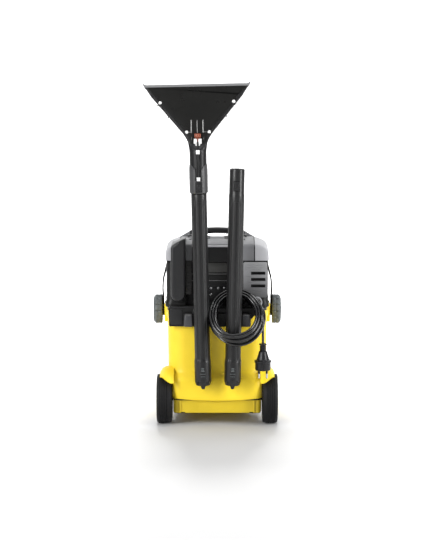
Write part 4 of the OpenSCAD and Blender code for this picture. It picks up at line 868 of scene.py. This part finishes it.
def nozzle():
    A = AT_FAN
    bm = bmesh.new()
    # back plate, then a rim wall run along each side, so that the box is open to the lip
    def above(P, z0): return [(x, max(z, z0)) for x, z in P]
    add_loft(bm, [[(x, y, z) for x, z in fan_poly(g)] for y, g in ((7.6, 0.6), (9.4, 0.5), (10.6, 1.6), (10.9, 3.2))], mat=A)
    O, Q = fan_poly(0)[:len(FH)], fan_poly(3.6)[:len(FH)]
    for s in (-1, 1):
        rings = []
        for (xo, zo), (xi, zi) in zip(O, Q):
            m = 0.7
            rings.append([(s * lerp(xo, xi, 0.25), -7.3, lerp(zo, zi, 0.25)), (s * xo, -6.4, zo), (s * xo, 9.6, zo), (s * xi, 9.6, zi), (s * xi, -7.3, zi)])
        add_loft(bm, rings, mat=A)
    # smooth neck, round below and oblong where it meets the fan
    rings = []
    K = 64
    for z, t in ((-5, 0.0), (0, 0.04), (5, 0.25), (10, 0.6), (15, 0.9), (18, 1.0)):
        ring = []
        hw = lerp(20.3, 22.4 if z < 17 else 23.0, t); hl = lerp(20.3, 10.9, t); yc = lerp(0, 0.1, t)
        ex = lerp(2.0, 4.0, t)
        for k in range(K):
            a = 2 * math.pi * k / K; ca, sa = math.cos(a), math.sin(a)
            ring.append((hw * math.copysign(abs(ca) ** (2 / ex), ca), yc + hl * math.copysign(abs(sa) ** (2 / ex), sa), z))
        rings.append(ring)
    add_loft(bm, rings, mat=A)
    for x, z in SCREWS:
        add_rev(bm, [(1.85, -9), (4.6, -9), (5, -8.4), (5, 6.9), (1.85, 6.9)], mat=A @ T(x, 0, z) @ R(90, "X"), n=32)
    # neck: round pipe that turns into the fan
    B = at_tube(-1)
    rings = []
    add_rev(bm, [(17.65, TUBE_LEN - 58.6), (20.0, TUBE_LEN - 59), (20.4, TUBE_LEN - 58.2), (20.4, TUBE_LEN + 8), (20.3, FAN_Z - 4), (20.1, FAN_Z + 6), (15.2, FAN_Z + 6), (15.1, TUBE_LEN + 2), (17.65, TUBE_LEN + 0.6)], mat=B, n=96)
    # stiffening ribs on the back of the fan
    for x, z1 in ((-70, 78), (-36, 44), (36, 44), (70, 78)):
        add_box(bm, x - 1.1, x + 1.1, 10.4, 14, z1 + 6, 150, mat=A, r=0.8)
    add_box(bm, -60, 60, 10.4, 13.4, 96, 98.4, mat=A, r=0.9)
    add_box(bm, -10.4, 10.4, -6.4, 9, 12, 46, mat=A, r=1)
    obj("nozzle_shell", bm, "black", "nozzle", ("nozzle_body",), sharp=34)
    # tinted cover plate, stepped in from the rim
    bm = bmesh.new()
    def cover(g, y): 
        P = [(x, z) for x, z in fan_poly(g) if z >= 16.5]
        return [(x, y, z if z < 154 else 155.4) for x, z in P]
    add_loft(bm, [cover(2.6, -6.9), cover(2.6, -9.2), cover(3.0, -9.9), cover(4.0, -10.3)], mat=A)
    c = bmesh.new(); add_box(c, -9.6, 9.6, -30, 0, 8, 44.4, mat=A, r=2)
    cuts = [c]
    for x, z in SCREWS:
        c = bmesh.new(); add_rev(c, [(0.001, -20), (5.6, -20), (5.6, 4.0), (0.001, 4.0)], mat=A @ T(x, 0, z) @ R(90, "X"), n=32)
    bm = boolean(bm, cuts)
    obj("nozzle_window", bm, "cover", "nozzle", ("nozzle_cover",), sharp=30, bevel=0.5, clean=False)
    # raised edge rails and the two curved flow walls seen through the cover
    bm = bmesh.new()
    for s in (-1, 1):
        pts = []
        F = fan_poly(5.2)[:len(FH)]
        for x, z in F[14:]:
            if z < 148: pts.append(A @ Vector((s * x, -10.4, z)))
        add_tube(bm, [tuple(p) for p in pts], 1.15, n=10)
        arc = [(s * (24 + 76 * (t / 14.0) ** 0.82), -10.35, 50 + 62 * math.sin(t / 14.0 * math.pi / 2) ** 1.0) for t in range(15)]
        add_tube(bm, [tuple(A @ Vector(p)) for p in arc], [0.3] + [0.8] * 13 + [0.3], n=8)
    for x, y0, y1 in ((-88, 118, 132), (88, 118, 132)):
        s = 1 if x > 0 else -1
        add_tube(bm, [tuple(A @ Vector((x + s * t * 30, -10.2, 122 + t * 27))) for t in (0.14, 0.4, 0.7, 1.0)], [1.0, 2.4, 2.0, 0.6], n=10)
    obj("nozzle_rails", bm, "black", "nozzle", sharp=50)
    # three pale ribs over the jet, and the light line along the right edge
    bm = bmesh.new()
    for x, z0, z1 in ((-15.0, 44, 76), (-0.6, 44, 75), (13.2, 44, 76)):
        add_tube(bm, [tuple(A @ Vector((x + (0.02 * (z - 50) if x < -5 else 0), -10.5, z))) for z in (z0, z0 + 3, (z0 + z1) / 2, z1 - 3, z1)], [0.5, 1.0, 1.15, 1.0, 0.4] if abs(x) > 5 else [0.4, 0.6, 0.7, 0.6, 0.3], n=10)
    for sx in (-1, 1):
        add_tube(bm, [tuple(A @ Vector((sx * 14.6, -9.6, z))) for z in (16, 30, 47)], [0.5, 0.8, 0.5], n=8)
    for z in (46.0,):
        for sx in (-1, 1): add_tube(bm, [tuple(A @ Vector((sx * x, -10.2, z))) for x in (14.5, 22)], 0.4, n=8)
    obj("nozzle_ribs", bm, "rib", "nozzle", sharp=50)
    # lip with its small horns
    bm = bmesh.new()
    add_loft(bm, [[(x, y, z) for x, y in rrect(hw, hl, 2.6, 5, 0, 0.4)] for z, hw, hl in ((155.6, 124.4, 10.8), (156.4, 125, 11.4), (160.6, 125.6, 11.4), (161.6, 125.4, 11.2), (161.6, 120, 8), (156, 119.6, 7.6))], mat=A, cap0=False, cap1=False)
    bmesh.ops.remove_doubles(bm, verts=bm.verts, dist=1e-6)
    for s in (-1, 1):
        add_loft(bm, [[(s * x, y, z) for y, z in ((-10.8, z0), (11.2, z0), (11.2, z1), (-10.8, z1))] for x, z0, z1 in ((120, 156.6, 161.4), (124, 157.2, 162.4), (126.6, 159.8, 164.4), (128.2, 162.4, 165.8), (128.8, 164.4, 166.2))], mat=A)
    for x in range(-108, 109, 12):
        add_box(bm, x - 0.9, x + 0.9, -7.4, 8.2, 154.6, 160.2, mat=A)
    o = obj("nozzle_lip_seal", bm, "lip", "nozzle", ("nozzle_lip",), sharp=34, bevel=0.35)
    # screws
    bm = bmesh.new()
    for x, z in SCREWS:
        S = A @ T(x, 0, z) @ R(90, "X")
        add_rev(bm, [(0.001, 9.2), (3.9, 9.2), (4.0, 10.2), (3.5, 11.3), (2.2, 12.0), (1.6, 12.1), (1.4, 11.3), (0.001, 11.2)], mat=S, n=32)
    obj("nozzle_screw_heads", bm, "white", "nozzle", ("nozzle_screws",), sharp=40)
    bm = bmesh.new()
    add_box(bm, -7.6, 7.6, -15.6, -6, 32.5, 41.5, mat=A, r=1.6)
    add_rev(bm, [(0.6, 20), (1.6, 20), (2.6, 19), (3, 17.6), (4.2, 17.2), (4.2, 15.4), (0.6, 15.4)], mat=A @ T(0, 0, 37) @ R(90, "X"), n=32)
    for sx in (-1, 1): add_box(bm, sx * 6.4 - 1.1, sx * 6.4 + 1.1, -16.6, -9, 33.6, 40.4, mat=A, r=0.7)
    add_box(bm, -4.6, 4.6, -9.4, -4, 22, 33, mat=A, r=1.4)
    obj("jet_body", bm, "copper", "nozzle", ("spray_jet",), sharp=36)
    bm = bmesh.new()
    for s in (-1, 1):
        add_box(bm, s * 5.5 - 3.9, s * 5.5 + 3.9, -13.8, -9, 17.5, 29.6, mat=A, r=1.8)
        add_loft(bm, [[(s * 3.4 + dx * w, y, z) for dx, y in ((-1, -13.2), (1, -13.2), (1, -9.4), (-1, -9.4))] for z, w in ((17.6, 3.0), (11, 1.2))], mat=A)
    obj("jet_clamp", bm, "white", "nozzle", ("jet_clips",), sharp=36, bevel=0.4)
    # hose from the coupling to the jet, with its two white ties
    bm = bmesh.new()
    P = [B @ Vector((0, -23.0, z)) for z in (TUBE_LEN - 24, TUBE_LEN - 10, TUBE_LEN + 10, TUBE_LEN + 26)] + [B @ Vector((0, -22.4, TUBE_LEN + 34)), A @ Vector((0, -20.6, 2)), A @ Vector((0, -16, 12)), A @ Vector((0, -12.5, 21))]
    pts = []
    for i in range(len(P) - 1):
        p0 = P[max(i - 1, 0)]; p1, p2 = P[i], P[i + 1]; p3 = P[min(i + 2, len(P) - 1)]
        for j in range(6):
            t = j / 6; pts.append(tuple(0.5 * ((2 * p1) + (-p0 + p2) * t + (2 * p0 - 5 * p1 + 4 * p2 - p3) * t * t + (-p0 + 3 * p1 - 3 * p2 + p3) * t ** 3)))
    pts.append(tuple(P[-1]))
    add_tube(bm, pts, 2.1, n=14)
    obj("jet_hose", bm, "spine", "nozzle", sharp=60)
    bm = bmesh.new()
    add_box(bm, -4.4, 4.4, -26.2, -19.6, TUBE_LEN + 37, TUBE_LEN + 46.5, mat=B, r=1.4)
    add_box(bm, -4.2, 4.2, -27, -22, TUBE_LEN - 27, TUBE_LEN - 18.5, mat=B, r=1.4)
    obj("hose_ties", bm, "white", "nozzle", sharp=36)
    # grey coupling sleeve: shouldered plates either side of a dark channel, frame for the latch
    bm = bmesh.new()
    n = 96
    def sleeve(z, ro, ri, open_deg):
        O = []
        a0, a1 = -90 + open_deg, 270 - open_deg
        m = 60
        for i in range(m + 1):
            a = lerp(a0, a1, i / m) * D2R; O.append((ro * math.cos(a), ro * math.sin(a), z))
        for i in range(m, -1, -1):
            a = lerp(a0, a1, i / m) * D2R; O.append((ri * math.cos(a), ri * math.sin(a), z))
        return O
    L = TUBE_LEN
    add_loft(bm, [sleeve(L - 57, 21.4, 20.45, 26), sleeve(L - 56, 22.3, 20.45, 23), sleeve(L - 20, 22.4, 20.45, 22), sleeve(L - 4, 22.3, 20.45, 22), sleeve(L + 2, 22.1, 20.45, 27), sleeve(L + 7, 21.8, 20.45, 38), sleeve(L + 10, 21.4, 20.45, 52), sleeve(L + 11, 20.9, 20.45, 60)], mat=B)
    obj("coupling_sleeve", bm, "sleeve", "nozzle", ("nozzle_coupling",), sharp=36, bevel=0.6)
    bm = bmesh.new()
    c = bmesh.new()
    add_box(bm, -10.4, 10.4, -24.6, -19.2, L - 57, L - 27, mat=B, r=2.4)
    add_box(c, -7.5, 7.5, -34, -10, L - 55, L - 29.4, mat=B, r=1.6)
    bm = boolean(bm, [c])
    for x in (-3.4, 3.4): add_box(bm, x - 0.5, x + 0.5, -21.9, -19.8, L - 26, L + 24, mat=B, r=0.4)
    for x in (-7.6, 7.6): add_box(bm, x - 0.8, x + 0.8, -21.9, -18.8, L - 26, L + 3, mat=B, r=0.5)
    obj("latch_frame", bm, "sleeve", "nozzle", sharp=36, bevel=0.4, clean=False)
    bm = bmesh.new()
    add_box(bm, -6.9, 6.9, -23.7, -21.9, L - 54, L - 30.2, mat=B, r=0.8)
    add_box(bm, -4, 4, -25.3, -22.6, L - 47, L - 37, mat=B, r=1.8)
    for z in (L - 51.6, L - 49.6, L - 34.6, L - 32.6): add_box(bm, -4.6, 4.6, -24.4, -23, z - 0.5, z + 0.5, mat=B, r=0.4)
    obj("latch_button", bm, "dark_soft", "nozzle_latch", ("nozzle_latch",), sharp=36)
M["rib"] = plastic("rib_pale", (0.34, 0.34, 0.335), rough=0.4, grain=900, bump=0.1, vary=0.06)
M["sleeve"] = plastic("sleeve_grey", (0.050, 0.0505, 0.052), rough=0.4, grain=1200, bump=0.2, vary=0.07)
nozzle()

# ------------------------------------------------------------------ mains cord helper (gland, coil of 12 turns, drop, plug): it only returns a Catmull-Rom sampler, and nothing calls it
def cord_line():
    C = AT_COIL; pts = []
    def cat(P, k):
        out = []
        for i in range(len(P) - 1):
            p0 = P[max(i - 1, 0)]; p1, p2 = P[i], P[i + 1]; p3 = P[min(i + 2, len(P) - 1)]
            for j in range(k):
                t = j / k; out.append(0.5 * ((2 * p1) + (-p0 + p2) * t + (2 * p0 - 5 * p1 + 4 * p2 - p3) * t * t + (-p0 + 3 * p1 - 3 * p2 + p3) * t ** 3))
        out.append(P[-1]); return out
    return cat

# ------------------------------------------------------------------ mains cord, one line: gland, coil, drop, plug
CORD_D = 6.3
def cord_points():
    r = [49.75, 56.25, 62.75, 69.3]; ax = [9.75, 3.25, -3.25, -9.75]
    sm = lambda t: t * t * (3 - 2 * t)
    # (from, to, kind, value before, value after) by angle travelled, clockwise from the upper right
    rad = [(80, 140, r[3], r[2]), (440, 500, r[2], r[1]), (800, 860, r[1], r[0]), (1400, 1460, r[0], r[1]), (1760, 1820, r[1], r[2]),
           (2360, 2420, r[2], r[1]), (2720, 2780, r[1], r[0]), (3320, 3380, r[0], r[1]), (3680, 3740, r[1], r[2])]
    axs = [(0, 80, 4.0, ax[0]), (1100, 1160, ax[0], ax[1]), (2060, 2120, ax[1], ax[2]), (3020, 3080, ax[2], ax[3])]
    def val(tab, th):
        v = tab[0][2]
        for a, b, p, q in tab:
            if th >= b: v = q
            elif th > a: return lerp(p, q, sm((th - a) / (b - a)))
        return v
    loc = []
    th = 0.0
    while th <= 3965:
        ph = (5 - th) * D2R; R_ = val(rad, th)
        loc.append(Vector((R_ * math.cos(ph), val(axs, th), (R_ + 6) * math.sin(ph))))
        th += 4.0
    ph = (5 - 3965) * D2R
    W = [AT_COIL @ p + Vector((-2.5, 0, 0)) for p in loc]
    def herm(p0, m0, p1, m1, n):
        out = []
        for i in range(n):
            t = i / n; t2, t3 = t * t, t * t * t
            out.append(p0 * (2 * t3 - 3 * t2 + 1) + m0 * (t3 - 2 * t2 + t) + p1 * (-2 * t3 + 3 * t2) + m1 * (t3 - t2))
        return out
    g0, g1 = Vector((96, -160, 303)), Vector((96, -166, 303))
    t1 = (W[1] - W[0]).normalized()
    lead = [g0, (g0 + g1) / 2] + herm(g1, Vector((0, -66, 0)), W[0], t1 * 60, 18)
    tE = (W[-1] - W[-2]).normalized()
    pl = Vector((111, -213, 211))
    drop = herm(W[-1], tE * 96, pl, Vector((0, 0, -84)), 22)[1:] + [pl, pl - Vector((0, 0, 5)), pl - Vector((0, 0, 10)), pl - Vector((0, 0, 15))]
    return lead + W + drop
CP = cord_points()
cd = bpy.data.curves.new("mains_cord", "CURVE"); cd.dimensions = "3D"
sp = cd.splines.new("POLY"); sp.points.add(len(CP) - 1)
for i, p in enumerate(CP): sp.points[i].co = (p.x / 1000, p.y / 1000, p.z / 1000, 1)
cd.bevel_depth = CORD_D / 2000; cd.bevel_resolution = 5; cd.use_fill_caps = True
cd.materials.append(M["cord"])
cordo = bpy.data.objects.new("mains_cord", cd); sc.collection.objects.link(cordo)
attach(cordo, "head"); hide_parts("power_cord_coil", "power_cord_lead", "power_cord_drop")

def plug():
    A = T(111, -213, 0); bm = bmesh.new()
    P = [(3.3, 211.4), (7.4, 211.4), (9.2, 210.8), (9.6, 209.6), (9.4, 208.2), (7.2, 207.4), (6.4, 206.6)]
    for z in (205.2, 202.4, 199.6, 196.8):       # ribbed neck
        P += [(6.4, z), (8.0, z - 0.5), (8.2, z - 1.0), (8.0, z - 1.5), (6.5, z - 2.0)]
    P += [(7.0, 194.0), (9.4, 192.6), (10.6, 190), (11.6, 186), (13.0, 181), (14.2, 176.6), (15.4, 173.6), (16.6, 171.6), (18.2, 170.4), (20.2, 170.0), (20.8, 169.2), (20.8, 166.4), (20.2, 165.6),
          (19.2, 165.0), (18.9, 163.6), (18.9, 148.4), (18.4, 146.8), (17.2, 146.0), (15.6, 146.0), (15.2, 147.4), (3.3, 147.4)]
    add_rev(bm, P, mat=A, n=72)
    for a in range(0, 360, 30):         # finger ribs on the flare
        add_loft(bm, [[(x, y, z) for x, y in ((r0 - 1, -1.1), (r0 + 0.9, -0.8), (r0 + 0.9, 0.8), (r0 - 1, 1.1))] for z, r0 in ((191, 10.0), (186, 11.4), (180, 13.2), (175, 14.8))], mat=A @ R(a, "Z"))
    cuts = []
    for s in (-1, 1):                   # earth recesses on the two sides
        c = bmesh.new(); add_box(c, -3.4, 3.4, s * 19.6 - 2.6, s * 19.6 + 2.6, 140, 162, mat=A, r=1.4); cuts.append(c)
    bm = boolean(bm, cuts)
    add_rev(bm, [(0.001, 147.2), (3.4, 147.2), (3.4, 194), (0.001, 194)], mat=A, n=24)
    p = obj("plug_housing", bm, "plug", "head", ("plug_body",), sharp=36, clean=False)
    bm = bmesh.new()
    for s in (-1, 1):
        add_rev(bm, [(0.001, 125.0), (1.2, 125.2), (2.0, 126.0), (2.4, 127.4), (2.4, 134.6)], mat=A @ T(s * 9.5, 0, 0), n=24, closed=False)
        add_rev(bm, [(2.4, 134.6), (2.4, 147.6)], mat=A @ T(s * 9.5, 0, 0), n=24, closed=False)
    q = obj("plug_contacts", bm, "steel", "head", ("plug_pins",), sharp=40)
    bm = bmesh.new()
    for s in (-1, 1):
        add_rev(bm, [(2.3, 137), (2.62, 137.2), (2.62, 147.6), (2.3, 147.8)], mat=A @ T(s * 9.5, 0, 0), n=24)
    q2 = obj("plug_sleeves", bm, "plug", "head", sharp=40)
    return p, q, q2
PL = plug()
def bend_min():
    m = 1e9; at = None
    for i in range(2, len(CP) - 2):
        a, b, c = CP[i - 2], CP[i], CP[i + 2]
        k = ((b - a).cross(c - b)).length * 2 / max(1e-9, (b - a).length * (c - b).length * (c - a).length)
        if k > 1e-9 and 1 / k < m: m, at = 1 / k, i
    return m, at, len(CP)
print("tightest bend mm", bend_min())

# ------------------------------------------------------------------ CAD pieces that keep their shape
NODE_MAT = {
 "tank_tub": "yellow", "rear_axle": "steel", "suction_port": "black",
 "tyre_left": "tyre", "tyre_right": "tyre", "wheel_hub_left": "hub", "wheel_hub_right": "hub", "hub_cap_left": "knob", "hub_cap_right": "knob",
 "castor_fork_left": "dark", "castor_fork_right": "dark", "castor_pin_left": "steel", "castor_pin_right": "steel",
 "castor_wheel_left": "tyre", "castor_wheel_right": "tyre",
 "head_base": "dark", "tank_seal": "tyre", "motor_housing": "dark", "top_cover": "grey", "duct_cover": "dark_soft", "vent_panel": "grey",
 "suction_motor": "alu", "spray_pump": "black", "float_cage": "black", "tube_holder": "dark", "cable_hook": "black", "hook_screws": "steel",
 "cable_gland": "plug", "power_cord_coil": "cord", "power_cord_lead": "cord", "power_cord_drop": "cord", "plug_body": "plug", "plug_pins": "steel",
 "pivot_pins": "steel", "switch_bezel": "black", "spray_coupling": "steel", "fan_impeller": "alu", "motor_shaft": "steel", "float_ball": "white",
 "fresh_tank": "smoke", "filler_cap": "black", "handle_bail": "black", "knob_left": "knob", "knob_right": "knob",
 "suction_switch": "red", "spray_switch": "red", "suction_tube_left": "tube", "suction_tube_right": "tube",
 "spray_line_left": "spine", "spray_line_right": "spine", "nozzle_body": "black", "nozzle_cover": "cover", "nozzle_lip": "lip",
 "nozzle_screws": "white", "spray_jet": "copper", "jet_clips": "white", "nozzle_coupling": "knob", "nozzle_latch": "black", "tube_latch": "dark_soft"}
BEVEL = {"tank_tub": 1.2, "head_base": 0.8, "fresh_tank": 2.0, "knob_left": 0.6, "knob_right": 0.6, "tube_holder": 0.8}
for n, o in frame["nodes"].items():
    o.data.materials.clear()
    o.data.materials.append(M[NODE_MAT.get(n, "dark")])
    if o.hide_render or n in ("fan_impeller",):
        continue
    wd = o.modifiers.new("weld", "WELD"); wd.merge_threshold = 0.00001
    bv = o.modifiers.new("bevel", "BEVEL"); bv.width = BEVEL.get(n, 0.5) / 1000; bv.segments = 2
    bv.limit_method = "ANGLE"; bv.angle_limit = 32 * D2R; bv.harden_normals = True
    bv.use_clamp_overlap = True
    for p in o.data.polygons:
        p.use_smooth = True
